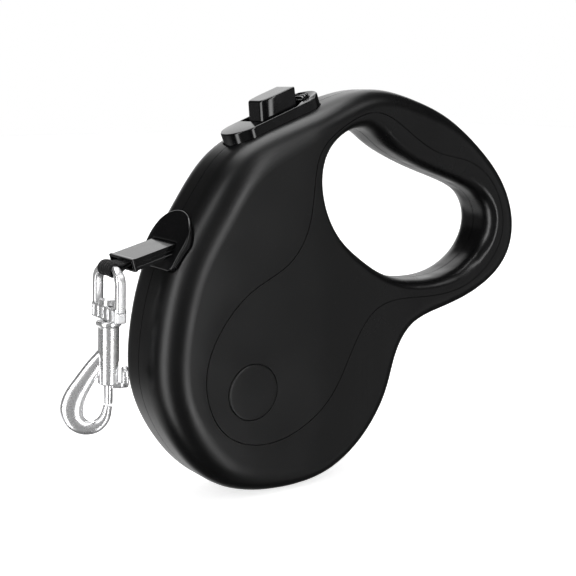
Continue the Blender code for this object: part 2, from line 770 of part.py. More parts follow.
def side_panels():
    """Inlaid panels that line the opening and lie flush in each side, with a seat for the badge."""
    skin = body_solid("skin", 0.0, 0.0, BODY_HALF, EDGE_STEPS)
    combine(skin, panel_prism("edge", 0.0), "INTERSECT")
    combine(skin, body_solid("core", -PANEL, -PANEL, BODY_HALF - PANEL, EDGE_STEPS), "DIFFERENCE")
    frame = side_frame(*BADGE_PLACE)
    low = BODY_HALF - BADGE_THICK + BADGE_PROUD - GAP
    seats = both_sides("seat", BADGE_RADIUS + GAP, *BADGE_PLACE, low, 2 * BODY_HALF, 48)
    combine(skin, join_all(seats), "DIFFERENCE")
    for side_name, side in (("left", -1), ("right", 1)):
        panel = copy_of(skin)
        panel.name = "inlay_" + side_name
        combine(panel, half_space("half", side), "INTERSECT")
        finish(panel, "panel")
        low = side * -(BODY_HALF - BADGE_THICK + BADGE_PROUD)
        high = side * -(BODY_HALF + BADGE_PROUD)
        bevel = BADGE_PROUD / 2
        profile = [
            (0.0, low),
            (BADGE_RADIUS, low),
            (BADGE_RADIUS, high + side * bevel),
            (BADGE_RADIUS - bevel, high),
            (0.0, high),
        ]
        turned("badge_" + side_name, profile, frame, 48, "panel")
    bpy.data.objects.remove(skin)


def mouth_bezel():
    """The glossy plate round the mouth, curved like the rim it sits in."""
    plate = body_solid("mouth_bezel", BEZEL_PROUD, BEZEL_PROUD, BODY_HALF + BEZEL_PROUD, EDGE_STEPS)
    combine(plate, prism("edge", bezel_outline(), BEZEL_FRAME, -DRUM_EDGE, DRUM_EDGE), "INTERSECT")
    core = body_solid("core", -BEZEL_SUNK, -BEZEL_SUNK, BODY_HALF - BEZEL_SUNK, EDGE_STEPS)
    combine(plate, core, "DIFFERENCE")
    slot = prism("slot", grown(sleeve_outline(), GAP), EXIT_FRAME, -DRUM_EDGE, DRUM_EDGE)
    combine(plate, slot, "DIFFERENCE")
    finish(plate, "gloss")


def screws():
    for k, (x, z) in enumerate(SCREW_PLACES):
        seat = -SCREW_SEAT - GAP
        profile = [
            (0.0, seat - SCREW_HEAD_THICK),
            (SCREW_HEAD, seat - SCREW_HEAD_THICK),
            (SCREW_HEAD, seat),
            (SCREW_RADIUS, seat),
            (SCREW_RADIUS, SCREW_REACH),
            (0.0, SCREW_REACH),
        ]
        turned(f"housing_screw_{k + 1}", profile, side_frame(x, z), 14, "steel")


# ---- Spool, spring and tape ----

def ratchet_outline():
    """The flange's edge: teeth with one steep face, phased so that the pressed pawl lies between two."""
    root = FLANGE_RADIUS - TOOTH_DEPTH
    pitch = 2 * math.pi / TEETH
    valley = math.radians(PAWL_TURN_AT) - 0.75 * pitch
    loop = []
    for k in range(TEETH):
        for share, radius in ((0.02, FLANGE_RADIUS), (0.26, FLANGE_RADIUS), (0.5, root), (1.0, root)):
            turn = valley + (k + share) * pitch
            loop.append((radius * math.cos(turn), radius * math.sin(turn)))
    return loop


def spool():
    frame = side_frame()
    core = prism("spool_core", ratchet_outline(), frame, FLANGE_IN, FLANGE_OUT, "spool")
    hub_end = FLANGE_IN + FLANGE_THICK / 2
    hub = ring("hub", HUB_RADIUS - HUB_WALL, HUB_RADIUS, frame, GAP - FLANGE_IN, hub_end, 48)
    combine(core, hub, "UNION")
    combine(core, rod("bore", SPOOL_BORE, frame, 0.0, 2 * FLANGE_OUT), "DIFFERENCE")
    finish(core, "spool")
    ring("spool_cover", SPOOL_BORE, FLANGE_RADIUS, frame, -FLANGE_OUT, -FLANGE_IN, 64, "spool")
    half = TAPE_WIDTH / 2
    ring("tape_pack", HUB_RADIUS + GAP, PACK_RADIUS, frame, -half, half, 72, "webbing")


def spool_axle():
    frame = side_frame()
    rod("spool_axle", AXLE_RADIUS, frame, -AXLE_END, AXLE_END, 24, "steel")
    inner = AXLE_RADIUS + GAP
    ring("spring_arbor", inner, ARBOR_RADIUS, frame, -SPRING_WIDTH / 2, SPRING_WIDTH / 2, 24, "steel")
    low = FLANGE_OUT + GAP
    high = min(low + BUSH_THICK, AXLE_SOCKET - GAP)
    ring("bush_left", inner, BUSH_RADIUS, frame, low, high, 24, "spool")
    ring("bush_right", inner, BUSH_RADIUS, frame, -high, -low, 24, "spool")


def spiral_spring():
    """A flat strip wound from the arbor out to the hub's wall."""
    first = ARBOR_RADIUS + GAP + SPRING_STRIP / 2
    last = HUB_RADIUS - HUB_WALL - GAP - SPRING_STRIP / 2
    per_turn = 16
    count = SPRING_TURNS * per_turn
    rings = []
    for k in range(count + 1):
        turn = 2 * math.pi * k / per_turn
        radius = first + (last - first) * k / count
        corners = []
        for half_y, step in ((-1, -1), (1, -1), (1, 1), (-1, 1)):
            out = radius + step * SPRING_STRIP / 2
            corners.append(world(*polar(out, turn), half_y * SPRING_WIDTH / 2))
        rings.append(corners)
    rings_to_solid("spiral_spring", rings, "steel")


def roller_place():
    """The guide roller's axis: under the tape, a little way back from the mouth."""
    below = ROLLER_RADIUS + GAP + TAPE_THICK / 2
    spot = EXIT_FRAME.point(0.0, -below, -ROLLER_BACK)
    return spot.x - GRIP_TO_DRUM[0], spot.z - GRIP_TO_DRUM[1]



def guide_roller():
    frame = side_frame(*roller_place())
    bore = PIN_RADIUS + GAP
    half = ROLLER_SOCKET - GAP
    ring("guide_roller", bore, ROLLER_RADIUS, frame, -half, half, 20, "spool")
    rod("roller_pin", PIN_RADIUS, frame, -ROLLER_PIN_END, ROLLER_PIN_END, 12, "steel")


def strip(name, path, thick, width, slot="webbing"):
    """A flat tape along a path in the side plane, given at its middle."""
    rings = []
    for k, point in enumerate(path):
        before = path[max(k - 1, 0)]
        after = path[min(k + 1, len(path) - 1)]
        way = (after - before).normalized()
        up = Vector((-way.z, 0.0, way.x))
        across = Vector((0.0, width / 2, 0.0))
        above = point + up * thick / 2
        under = point - up * thick / 2
        rings.append([under - across, above - across, above + across, under + across])
    return rings_to_solid(name, rings, slot)


def tape_run():
    """The tape from the pack over the roller and into the sleeve."""
    roller_x, roller_z = roller_place()
    roller = world(roller_x, roller_z)
    reach = ROLLER_RADIUS + GAP + TAPE_THICK / 2
    pack = PACK_RADIUS + GAP + TAPE_THICK / 2
    apart = math.hypot(roller_x, roller_z)
    lift = math.atan2(roller_z, roller_x) + math.asin((pack - reach) / apart)
    leave = lift - math.pi / 2  # the turn round the pack and the roller at which the run touches both
    steps = 5
    path = [world(*polar(pack, leave))]
    end = math.pi / 2 + math.radians(EXIT_PITCH)
    for k in range(steps):
        turn = leave + (end - leave) * k / (steps - 1)
        path.append(roller + Vector((math.cos(turn), 0.0, math.sin(turn))) * reach)
    path.append(EXIT_FRAME.point(0.0, 0.0, SLEEVE_WALL - SLEEVE_IN))
    strip("tape_run", path, TAPE_THICK, TAPE_WIDTH)


def end_sleeve():
    frame = EXIT_FRAME
    sleeve = prism("end_sleeve", sleeve_outline(), frame, -SLEEVE_IN, SLEEVE_OUT, "gloss")
    hollow = grown(sleeve_outline(), -SLEEVE_WALL)
    combine(sleeve, prism("hollow", hollow, frame, -2 * SLEEVE_IN, 2 * SLEEVE_OUT), "DIFFERENCE")


def tape_loop():
    """The doubled tape in the sleeve and its loop round the snap's eye."""
    steps = 12
    outer = LOOP_INNER + LOOP_THICK
    leg = TAPE_THICK + GAP / 4  # outer face of each doubled leg from the middle
    outline = [(0.0, -leg)]
    start = math.asin(leg / outer)
    for k in range(steps + 1):
        a, b = polar(outer, (math.pi - start) * (2 * k / steps - 1))
        outline.append((LOOP_AHEAD + a, b))
    outline.append((0.0, leg))
    frame = Frame(EXIT_FRAME.origin, EXIT, EXIT_UP)
    loop = prism("tape_loop", outline, frame, -LOOP_WIDTH / 2, LOOP_WIDTH / 2, "webbing")
    eye = rod("eye", LOOP_INNER, frame.moved(LOOP_AHEAD, 0.0), -TAPE_WIDTH, TAPE_WIDTH, 20)
    combine(loop, eye, "DIFFERENCE")


# ---- Button, lock and brake ----


def well_outline():
    """The well's edge: square round the button, then a round-ended channel for the lock slider."""
    half = TRAY_HALF - TRAY_WALL
    channel = LOCK_HALF + GAP
    loop = [(WELL_FRONT, half), (WELL_FRONT, -half), (WELL_NARROWS, -half), (CHANNEL_FROM, -channel)]
    for k in range(13):
        a, b = polar(channel, math.pi * (k / 12 - 0.5))
        loop.append((LOCK_REAR - LOCK_HALF + a, b))
    return loop + [(CHANNEL_FROM, channel), (WELL_NARROWS, half)]


def button_tray():
    """The oval tray: a solid toe, and a well with a hole for the stem and a slot for the lock."""
    outline = stadium(TRAY_LONG, TRAY_HALF)
    tray = prism("button_tray", outline, TRAY_FRAME, -TRAY_SUNK, TRAY_RIM, "gloss", TRAY_BEVEL)
    combine(tray, prism("well", well_outline(), TRAY_FRAME, TRAY_BASE, 2 * TRAY_RIM), "DIFFERENCE")
    hole = rod("hole", STEM_RADIUS + GAP, TRAY_FRAME.moved(STEM_AT, 0.0), -2 * TRAY_SUNK, 0.0, 20)
    slot_low = LEG_FRONT - LOCK_TRAVEL - GAP
    slot_high = LEG_FRONT + LOCK_LEG + GAP
    slot_half = LEG_HALF + GAP
    outline = rectangle(slot_low, slot_high, -slot_half, slot_half)
    slot = prism("slot", outline, TRAY_FRAME, -2 * TRAY_SUNK, 0.0)
    combine(tray, join_all([hole, slot]), "DIFFERENCE")


def brake_button():
    """A hollow thumb cap with a raked front, and a stem down to the pawl."""
    base = TRAY_BASE + BUTTON_PRESS + 2 * GAP
    chamfer = BUTTON_CHAMFER
    top_front = BUTTON_FRONT + BUTTON_RAKE
    rings = []
    for front, level, inset in (
        (BUTTON_FRONT, base, 0.0),
        (top_front, BUTTON_TOP - BUTTON_BEVEL, 0.0),
        (top_front + BUTTON_BEVEL, BUTTON_TOP, BUTTON_BEVEL),
    ):
        half = BUTTON_HALF - inset
        rear = BUTTON_REAR - inset
        outline = [
            (front + chamfer, -half),
            (rear - chamfer, -half),
            (rear, -half + chamfer),
            (rear, half - chamfer),
            (rear - chamfer, half),
            (front + chamfer, half),
            (front, half - chamfer),
            (front, -half + chamfer),
        ]
        rings.append([TRAY_FRAME.point(a, b, level) for a, b in outline])
    cap = rings_to_solid("brake_button", rings, "gloss")
    inside = BUTTON_HALF - BUTTON_WALL
    roof = BUTTON_TOP - BUTTON_WALL
    outline = rectangle(top_front + BUTTON_WALL, BUTTON_REAR - BUTTON_WALL, -inside, inside)
    combine(cap, prism("hollow", outline, TRAY_FRAME, base - BUTTON_TOP, roof), "DIFFERENCE")
    frame = TRAY_FRAME.moved(STEM_AT, 0.0)
    stem = rod("stem", STEM_RADIUS, frame, -STEM_LONG, roof + BUTTON_WALL / 2, 16)
    combine(cap, stem, "UNION")
    clip_low = CLIP_HIGH - CLIP_THICK
    ring("stem_clip", STEM_RADIUS + GAP, CLIP_RADIUS, frame, clip_low, CLIP_HIGH, 20, "steel")
    coil_radius = STEM_RADIUS + 2 * COIL_WIRE
    coil("button_spring", frame, coil_radius, COIL_WIRE, TRAY_BASE + GAP, roof - GAP, 5)


def lock_slider():
    """A ribbed thumb piece whose nose goes under the stem's clip, or over it with the button down."""
    low = TRAY_BASE + GAP
    rear = LOCK_REAR - LOCK_HALF
    outline = [(LOCK_FRONT, -LOCK_HALF), (rear, -LOCK_HALF)]
    for k in range(1, 8):
        turn = math.pi * (k / 8 - 0.5)
        outline.append((rear + LOCK_HALF * math.cos(turn), LOCK_HALF * math.sin(turn)))
    outline += [(rear, LOCK_HALF), (LOCK_FRONT, LOCK_HALF)]
    slider = prism("lock_slider", outline, TRAY_FRAME, low, LOCK_TOP - RIB_HIGH, "gloss")
    pitch = LOCK_LONG / (RIBS + 1)
    across = LOCK_HALF * 0.72
    for k in range(RIBS):
        front = LOCK_FRONT + (k + 0.4) * pitch
        outline = rectangle(front, front + pitch / 2, -across, across)
        rib_top = LOCK_TOP + k * RIB_HIGH / 2
        rib = prism("rib", outline, TRAY_FRAME, LOCK_TOP - 2 * RIB_HIGH, rib_top)
        combine(slider, rib, "UNION")
    leg_rear = LEG_FRONT + LOCK_LEG
    leg_low = NOSE_LOW - GAP
    outline = rectangle(LEG_FRONT, leg_rear, -LEG_HALF, LEG_HALF)
    leg = prism("leg", outline, TRAY_FRAME, leg_low, low + GAP)
    outline = rectangle(NOSE_TIP, leg_rear - GAP, GAP - LEG_HALF, LEG_HALF - GAP)
    nose = prism("nose", outline, TRAY_FRAME, NOSE_LOW, NOSE_TOP)
    combine(leg, nose, "UNION")
    combine(slider, leg, "UNION")
    finish(slider, "gloss")



def pawl_press():
    """The stem's end from the pawl's pivot, and the angle the pawl turns as the button goes down."""
    end = TRAY_FRAME.point(STEM_AT, 0.0, -STEM_LONG - GAP)
    arm = end - world(*PAWL_PIVOT)
    gain = arm.x * TRAY_FRAME.normal.z - arm.z * TRAY_FRAME.normal.x
    return Vector((arm.x, arm.z)), BUTTON_PRESS / gain


def brake_pawl():
    """A lever under the stem with a tooth that drops between the ratchet's teeth."""
    pad, turn = pawl_press()
    pressed = FLANGE_RADIUS - TOOTH_DEPTH + 1.5 * GAP
    at = math.radians(PAWL_TURN_AT)
    tip = Vector(polar(pressed, at)) - Vector(PAWL_PIVOT)
    tip.rotate(Matrix.Rotation(turn, 2))
    along = Vector(TRAY_WAY)
    below = Vector((TRAY_WAY[1], -TRAY_WAY[0]))
    half = PAWL_TIP / 2
    end = pad + below * PAWL_ARM * 0.6
    side = Vector((-end.y, end.x)).normalized()
    frame = side_frame(*PAWL_PIVOT)
    low = PAWL_SIDE
    high = PAWL_SIDE + PAWL_THICK
    boss = PIN_RADIUS + GAP + POST_WALL
    lever = rod("brake_pawl", boss, frame, low, high, 20, "steel")
    root_side = side * boss * 0.8
    end_side = side * PAWL_ARM * 0.4
    arm = [root_side, -root_side, end - end_side, end + end_side]
    combine(lever, prism("arm", arm, frame, low, high), "UNION")
    root = end - side * PAWL_ARM * 0.2
    tooth = [
        root - Vector((3.2 * half, 0.0)),
        tip - Vector((half, 0.0)),
        tip + Vector((half, 0.0)),
        root + Vector((1.2 * half, 0.0)),
    ]
    combine(lever, prism("tooth", tooth, frame, low, high), "UNION")
    half_pad = along * STEM_RADIUS
    rest = [pad - half_pad, end - half_pad, end + half_pad, pad + half_pad]
    combine(lever, prism("rest", rest, frame, -STEM_RADIUS, high), "UNION")
    combine(lever, rod("bore", PIN_RADIUS + GAP, frame, 0.0, 2 * high, 20), "DIFFERENCE")
    finish(lever, "steel")
    rod("pawl_pin", PIN_RADIUS, frame, -PAWL_PIN_END, PAWL_PIN_END, 12, "steel")
    coil_radius = PIN_RADIUS + GAP + COIL_WIRE + GAP / 2
    coil("pawl_spring", frame, coil_radius, COIL_WIRE, GAP - PAWL_SOCKET, low - GAP, 5)


# ---- Bolt snap ----


def snap_frame(yaw=0.0, down=0.0):
    """The snap's own frame: its normal runs up the swivel, a to the rear and b to the right."""
    lean = Matrix.Rotation(HANG_LEAN, 3, "Y")
    turn = lean @ Matrix.Rotation(math.radians(yaw), 3, "Z")
    up = lean @ Vector((0, 0, 1))
    return Frame(SNAP_TOP - up * down, turn @ Vector((1, 0, 0)), turn @ Vector((0, 1, 0)))



def swivel_eye():
    frame = snap_frame()
    corner = EYE_CORNER
    path = []
    for side in (-1, 1):
        arc = []
        for k in range(6):
            turn = math.pi / 2 * k / 5
            a, b = polar(corner, turn)
            arc.append((side * (EYE_HALF - corner + a), b - corner))
        straight = [(side * EYE_HALF, -EYE_BELOW - WIRE), (side * EYE_HALF, -EYE_BELOW * 0.7)]
        path += straight + arc if side == -1 else (straight + arc)[::-1]
    points = [frame.point(0.0, b, high) for b, high in path]
    across = [(WIRE, WIRE + (LEG_DEEP - WIRE) * float(blend(abs(b), LEG_FROM))) for b, _ in path]
    eye = tube("swivel_eye", points, across, 10, "chrome", frame.a)
    outline = [(-b, a) for a, b in stadium(2 * BLOCK_HALF, BLOCK_DEEP / 2, 6)]
    block = prism("block", outline, snap_frame(down=BLOCK_LOW), 0.0, BLOCK_HIGH, "chrome")
    combine(eye, block, "UNION")
    bore = rod("bore", STUD_RADIUS + GAP, frame, -2 * BLOCK_LOW, -WIRE - GAP, 20)
    combine(eye, bore, "DIFFERENCE")
    finish(eye, "chrome")


def smooth_path(points, per_span):
    """Points on a smooth open curve through the given ones, in any number of dimensions."""
    p = np.array(points, float)
    p = np.vstack([2 * p[0] - p[1], p, 2 * p[-1] - p[-2]])
    path = []
    for k in range(1, len(p) - 2):
        for t in np.linspace(0.0, 1.0, per_span, endpoint=False):
            bend = 2 * p[k - 1] - 5 * p[k] + 4 * p[k + 1] - p[k + 2]
            rest = 3 * p[k] - p[k - 1] - 3 * p[k + 1] + p[k + 2]
            path.append(p[k] + (t * (p[k + 1] - p[k - 1]) + t * t * bend + t**3 * rest) / 2)
    path.append(p[-2])
    return path


def hook_path():
    """The arm's middle line in the hook's plane, from the barrel to the tip, with its half width."""
    tip = -BARREL_LOW - BOLT_SHOWS
    shape = (
        (-1.5, 20.0, 2.2),
        (-5.0, 14.9, 3.0),
        (-9.1, 8.8, 3.4),
        (-12.0, 3.7, 3.9),
        (-13.1, -0.8, 4.1),
        (-12.1, -5.0, 3.6),
        (-8.8, -7.7, 2.9),
        (-4.6, -7.7, 2.4),
        (-1.4, -4.8, 2.0),
        (-0.1, 0.0, 1.6),
    )
    return smooth_path([(a * MM, tip + high * MM, half * MM) for a, high, half in shape], 3)


def hook_body():
    """Collar, barrel and the hooked arm, with a bore for the bolt and a slot for its thumb knob."""
    frame = snap_frame(HOOK_YAW)
    top = -COLLAR_AT
    low = -BARREL_LOW
    neck = top - COLLAR_HIGH
    bevel = SNAP_BEVEL
    profile = [
        (0.0, top),
        (COLLAR_RADIUS - bevel, top),
        (COLLAR_RADIUS, top - bevel),
        (COLLAR_RADIUS, neck + bevel),
        (COLLAR_RADIUS - bevel, neck),
        (BARREL_RADIUS, neck),
        (BARREL_RADIUS, low + bevel),
        (BARREL_RADIUS - bevel, low),
        (0.0, low),
    ]
    body = turned("hook_body", profile, frame, 24, "chrome")
    shape = hook_path()
    points = [frame.point(a, 0.0, high) for a, high, _ in shape]
    across = [(half, min(half, ARM_DEEP)) for _, _, half in shape]
    arm = tube("arm", points, across, 12, "chrome", frame.b)
    combine(body, arm, "UNION")
    bore = BOLT_RADIUS + GAP
    cuts = [rod("bore", bore, frame, low - 0.5 * BOLT_SHOWS, low + BORE_DEEP, 20)]
    socket = STUD_RADIUS + GAP
    cuts.append(rod("socket", socket, frame, top - COLLAR_HIGH - GAP, 0.0, 20))
    combine(body, join_all(cuts), "DIFFERENCE")
    slot_top = low + STEM_DROP + KNOB_STEM + BOLT_TRAVEL + GAP
    slot_half = KNOB_STEM / 2 + GAP
    outline = rectangle(0.0, 2 * BARREL_RADIUS, -slot_half, slot_half)
    slot = prism("slot", outline, frame, low - BOLT_SHOWS / 4, slot_top)
    combine(body, slot, "DIFFERENCE")
    finish(body, "chrome")



def bolt():
    """The spring bolt that closes the hook, its thumb knob and its spring."""
    frame = snap_frame(HOOK_YAW)
    low = -BARREL_LOW - BOLT_SHOWS + 2 * GAP
    top = BOLT_GUIDED - BARREL_LOW
    rod("bolt_plunger", BOLT_RADIUS, frame, low, top, 16, "chrome")
    spring_top = -BARREL_LOW + BORE_DEEP - GAP
    coil("bolt_spring", frame, BOLT_RADIUS - BOLT_WIRE, BOLT_WIRE, top + GAP, spring_top, 6)
    stem_low = -BARREL_LOW + STEM_DROP
    knob = Frame(frame.point(0.0, 0.0, stem_low + KNOB_RADIUS), frame.b, frame.normal)
    bevel = SNAP_BEVEL
    high = KNOB_OUT + KNOB_THICK
    profile = [
        (0.0, KNOB_OUT),
        (KNOB_RADIUS - bevel, KNOB_OUT),
        (KNOB_RADIUS, KNOB_OUT + bevel),
        (KNOB_RADIUS, high - bevel),
        (KNOB_RADIUS - bevel, high),
        (0.0, high),
    ]
    disc = turned("thumb_knob", profile, knob, 24, "chrome")
    half = KNOB_STEM / 2
    outline = rectangle(BOLT_RADIUS + GAP, KNOB_OUT + KNOB_THICK / 2, -half, half)
    stem = prism("stem", outline, frame, stem_low, stem_low + KNOB_STEM)
    combine(disc, stem, "UNION")
    finish(disc, "chrome")


def swivel_stud():
    """The riveted stud that carries the hook in the eye's block."""
    frame = snap_frame(HOOK_YAW)
    seat = -EYE_BELOW + GAP
    profile = [
        (0.0, seat + STUD_HEAD_THICK),
        (STUD_HEAD * 0.7, seat + STUD_HEAD_THICK),
        (STUD_HEAD, seat + STUD_HEAD_THICK / 2),
        (STUD_HEAD, seat),
        (STUD_RADIUS, seat),
        (STUD_RADIUS, -COLLAR_AT - COLLAR_HIGH),
        (0.0, -COLLAR_AT - COLLAR_HIGH),
    ]
    turned("swivel_stud", profile, frame, 16, "chrome")


def place_origins():
    """Each moving piece's origin goes on its joint's axis; its shape stays where it is."""
    snap = ("swivel_eye", "swivel_stud", "hook_body", "bolt_spring", "bolt_plunger", "thumb_knob")
    for place, names in (
        (world(0.0, 0.0), ("spool_core", "spool_cover", "tape_pack")),
        (world(*roller_place()), ("guide_roller",)),
        (world(*PAWL_PIVOT), ("brake_pawl",)),
        (TRAY_FRAME.point(STEM_AT, 0.0, 0.0), ("brake_button", "stem_clip")),
        (TRAY_FRAME.point(LOCK_FRONT, 0.0, 0.0), ("lock_slider",)),
        (EXIT_FRAME.origin, ("end_sleeve", "tape_loop")),
        (SNAP_TOP, snap),
    ):
        for name in names:
            made = bpy.data.objects[name]
            made.data.transform(Matrix.Translation(-place))
            made.location = place


def main():
    for old in list(bpy.data.objects):
        bpy.data.objects.remove(old)
    housing()
    side_panels()
    mouth_bezel()
    screws()
    spool()
    spool_axle()
    spiral_spring()
    guide_roller()
    tape_run()
    end_sleeve()
    tape_loop()
    button_tray()
    brake_button()
    lock_slider()
    brake_pawl()
    swivel_eye()
    swivel_stud()
    hook_body()
    bolt()
    place_origins()


main()
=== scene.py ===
"""Looks of the retractable leash: moulded shells, glossy mouth and button, woven tape and a chromed snap.

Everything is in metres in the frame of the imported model. Outlines are (x, z) from the drum's axis.
"""

import json
from math import asin, atan2, copysign, cos, degrees, pi, radians, sin, sqrt

import bmesh
import bpy
import numpy as np
from mathutils import Matrix, Vector
from mathutils.bvhtree import BVHTree

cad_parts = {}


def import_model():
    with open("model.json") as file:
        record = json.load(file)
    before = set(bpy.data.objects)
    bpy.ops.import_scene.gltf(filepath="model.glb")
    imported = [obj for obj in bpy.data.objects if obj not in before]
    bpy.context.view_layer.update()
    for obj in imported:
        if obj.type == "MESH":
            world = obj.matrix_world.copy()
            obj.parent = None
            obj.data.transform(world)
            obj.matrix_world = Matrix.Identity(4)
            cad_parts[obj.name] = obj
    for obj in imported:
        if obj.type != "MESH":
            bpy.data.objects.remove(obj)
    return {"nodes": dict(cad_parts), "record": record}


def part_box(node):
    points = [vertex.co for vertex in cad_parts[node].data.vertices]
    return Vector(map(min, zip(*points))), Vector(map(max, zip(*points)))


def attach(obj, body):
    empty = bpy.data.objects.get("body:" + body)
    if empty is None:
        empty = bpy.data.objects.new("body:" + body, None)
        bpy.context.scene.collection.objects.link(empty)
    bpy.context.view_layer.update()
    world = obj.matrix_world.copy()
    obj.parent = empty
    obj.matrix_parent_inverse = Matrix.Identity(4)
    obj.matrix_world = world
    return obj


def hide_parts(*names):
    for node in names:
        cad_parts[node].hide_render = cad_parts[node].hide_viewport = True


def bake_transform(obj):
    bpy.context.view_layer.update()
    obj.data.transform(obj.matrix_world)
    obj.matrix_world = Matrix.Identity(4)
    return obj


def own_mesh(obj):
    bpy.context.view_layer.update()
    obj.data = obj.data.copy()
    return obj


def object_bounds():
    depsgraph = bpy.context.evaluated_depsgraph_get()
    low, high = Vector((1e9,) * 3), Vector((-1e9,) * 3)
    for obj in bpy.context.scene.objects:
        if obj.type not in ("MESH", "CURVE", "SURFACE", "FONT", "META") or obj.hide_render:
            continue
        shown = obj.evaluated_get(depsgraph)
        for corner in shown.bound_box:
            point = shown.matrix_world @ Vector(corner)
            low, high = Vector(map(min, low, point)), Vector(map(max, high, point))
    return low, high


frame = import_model()
CAD_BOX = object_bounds()
MM = 0.001

JOINTS = {entry["name"]: entry for entry in frame["record"]["behaviour"]["joints"]}


def joint(name):
    """Where a joint is, and which way it goes."""
    return Vector(JOINTS[name]["pos_m"]), Vector(JOINTS[name]["axis"])


def middle_of(node):
    low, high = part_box(node)
    return (Vector(low) + Vector(high)) / 2


def in_mm(*rows):
    """Rows of lengths that are given in millimetres."""
    return [tuple(value * MM for value in row) for row in rows]


# ---- Sizes of the housing ----

DRUM = middle_of("spool_axle")
FACE = Vector(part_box("inlay_right")[1]).y  # half the thickness at the drum
GRIP_HALF = 11.2 * MM
DRUM_RADIUS = 57.5 * MM
DRUM_EDGE = 12.0 * MM  # how deep the rim's round is at the drum
GRIP_EDGE = 8.3 * MM
HOLE_EDGE = 5.0 * MM  # the finger opening's round, across the face
HOLE_DEEP = 12.0 * MM  # and through the grip
WALL = 2.2 * MM
FLOOR_WALL = 1.8 * MM
SEAM_DEEP = 0.7 * MM
PANEL = 1.2 * MM
GAP = 0.3 * MM
TAPER = (9.0 * MM, 69.0 * MM)  # where the drum's thickness turns into the grip's
TAPER_CUTS = 19
EDGE_TAPER = (-15.0 * MM, 22.0 * MM)
EDGE_STEPS = 10
INNER_STEPS = 4
SCREW_COUNT = 6
SCREW_BORE = 2.7 * MM
SCREW_SEAT = 5.0 * MM
BADGE_EDGE = 0.45 * MM
BADGE_CROWN = 0.09 * MM
SOFT_EDGE = in_mm((0.35, 0), (0.1, 0.1), (0, 0.35))  # inset and drop, from the face to the side
WIDE_EDGE = in_mm((0.5, 0), (0.15, 0.15), (0, 0.5))
CLEAR = 20.0 * MM  # how far a cutting solid stands past a surface
FAR = 0.3  # half the width of a solid that cuts the whole part

DRUM_RIM = (  # degrees round the drum, and millimetres outside its radius
    (177, 0.9), (196, 0.4), (217, -0.4), (240, -0.3),
    (266, -1.6), (290, -0.6), (314, 1.4), (335, 2.7),
)  # fmt: skip
HANDLE_RIM = in_mm(
    (60.1, -10.6), (69.4, 1.1), (87.8, 6.8), (108.6, 13.1), (124.8, 25.5), (128.7, 43.3), (121.1, 61.7),
    (107.1, 76.2), (89.0, 88.9), (69.0, 97.0), (45.0, 101.1), (21.7, 95.9), (-1.8, 87.9), (-22.3, 77.8),
    (-38.4, 57.9), (-51.3, 35.9),
)  # fmt: skip
FINGER_HOLE = in_mm(
    (40.1, 85.7), (52.0, 79.1), (67.4, 71.0), (82.8, 65.2), (99.7, 58.8), (107.9, 52.4), (111.0, 43.1),
    (105.7, 31.6), (89.2, 22.5), (68.9, 21.4), (52.8, 25.4), (36.1, 35.3), (20.6, 50.9), (18.6, 76.0),
)  # fmt: skip
PANEL_EDGE = in_mm(
    (20.0, 84.8), (10.8, 74.6), (7.4, 53.0), (-2.5, 36.4), (-20.1, 27.0), (-35.7, 10.3), (-39.9, -6.9),
    (-32.0, -25.5), (-9.6, -32.6), (15.6, -20.9), (28.2, -3.6), (44.0, 12.8), (72.5, 14.4), (97.7, 17.4),
    (114.0, 29.6), (118.2, 43.0), (111.5, 60.0), (96.0, 70.6), (77.5, 75.2), (58.0, 86.2), (40.3, 92.0),
)  # fmt: skip

# ---- Sizes of the tray, the button and the lock ----

TRAY_LONG = 44.0 * MM
TRAY_HALF = 9.0 * MM
TRAY_WALL = 0.9 * MM
TRAY_RIM = 3.4 * MM
TRAY_SUNK = 3.2 * MM
TRAY_FLOOR = 1.6 * MM
TRAY_EDGE = 0.55 * MM
TRAY_LIP = 0.2 * MM
WELL_FRONT = -8.6 * MM
WELL_NARROWS = 8.0 * MM
CHANNEL_FROM = 12.5 * MM
RIDGE = 0.9 * MM  # of the rim's rear end over its top
RIDGE_FROM = (16.0 * MM, 18.5 * MM)
BUTTON_FRONT = -7.6 * MM
BUTTON_REAR = 9.1 * MM
BUTTON_HALF = 6.0 * MM
BUTTON_TOP = 10.2 * MM
BUTTON_PRESS = 3.0 * MM
BUTTON_EDGE = 0.7 * MM
BUTTON_RAKE = 2.4 * MM  # how far the front leans back
BUTTON_REAR_RAKE = 1.8 * MM
BUTTON_CORNER = (  # how far it turns, in degrees, and over how many millimetres
    (34, 0.35), (8, 1.1), (28, 0.45), (4, 1.4), (10, 3.4), (6, 1.5),
)  # fmt: skip
STEM_RADIUS = 2.0 * MM
STEM_LONG = 23.5 * MM
LOCK_FRONT = 13.4 * MM
LOCK_LONG = 5.4 * MM
LOCK_HALF = 4.6 * MM
LOCK_REAR = LOCK_FRONT + LOCK_LONG - LOCK_HALF  # the middle of the round rear end
LOCK_TRAVEL = 2.5 * MM
LOCK_DATUM = 5.0 * MM  # the slider's joint over the tray's own plane
LOCK_LEG = (0.6 * MM, 3.0 * MM)  # from the slider's front
LOCK_LEG_HALF = 2.3 * MM
RIB_COUNT = 4
RIB_BOW = 6.5 * MM
RIB_FROM = 0.1 * MM
RIB_APART = 1.25 * MM
RIB_WIDE = 0.7 * MM
RIB_FOOT = 3.7 * MM
RIB_TOP = 4.4 * MM
RIB_RISE = 0.2 * MM
RIB_EDGE = 0.15 * MM
RIB_REACH = 0.98  # of the way to the slider's sides

# ---- Sizes of the mouth, the sleeve and the tape ----

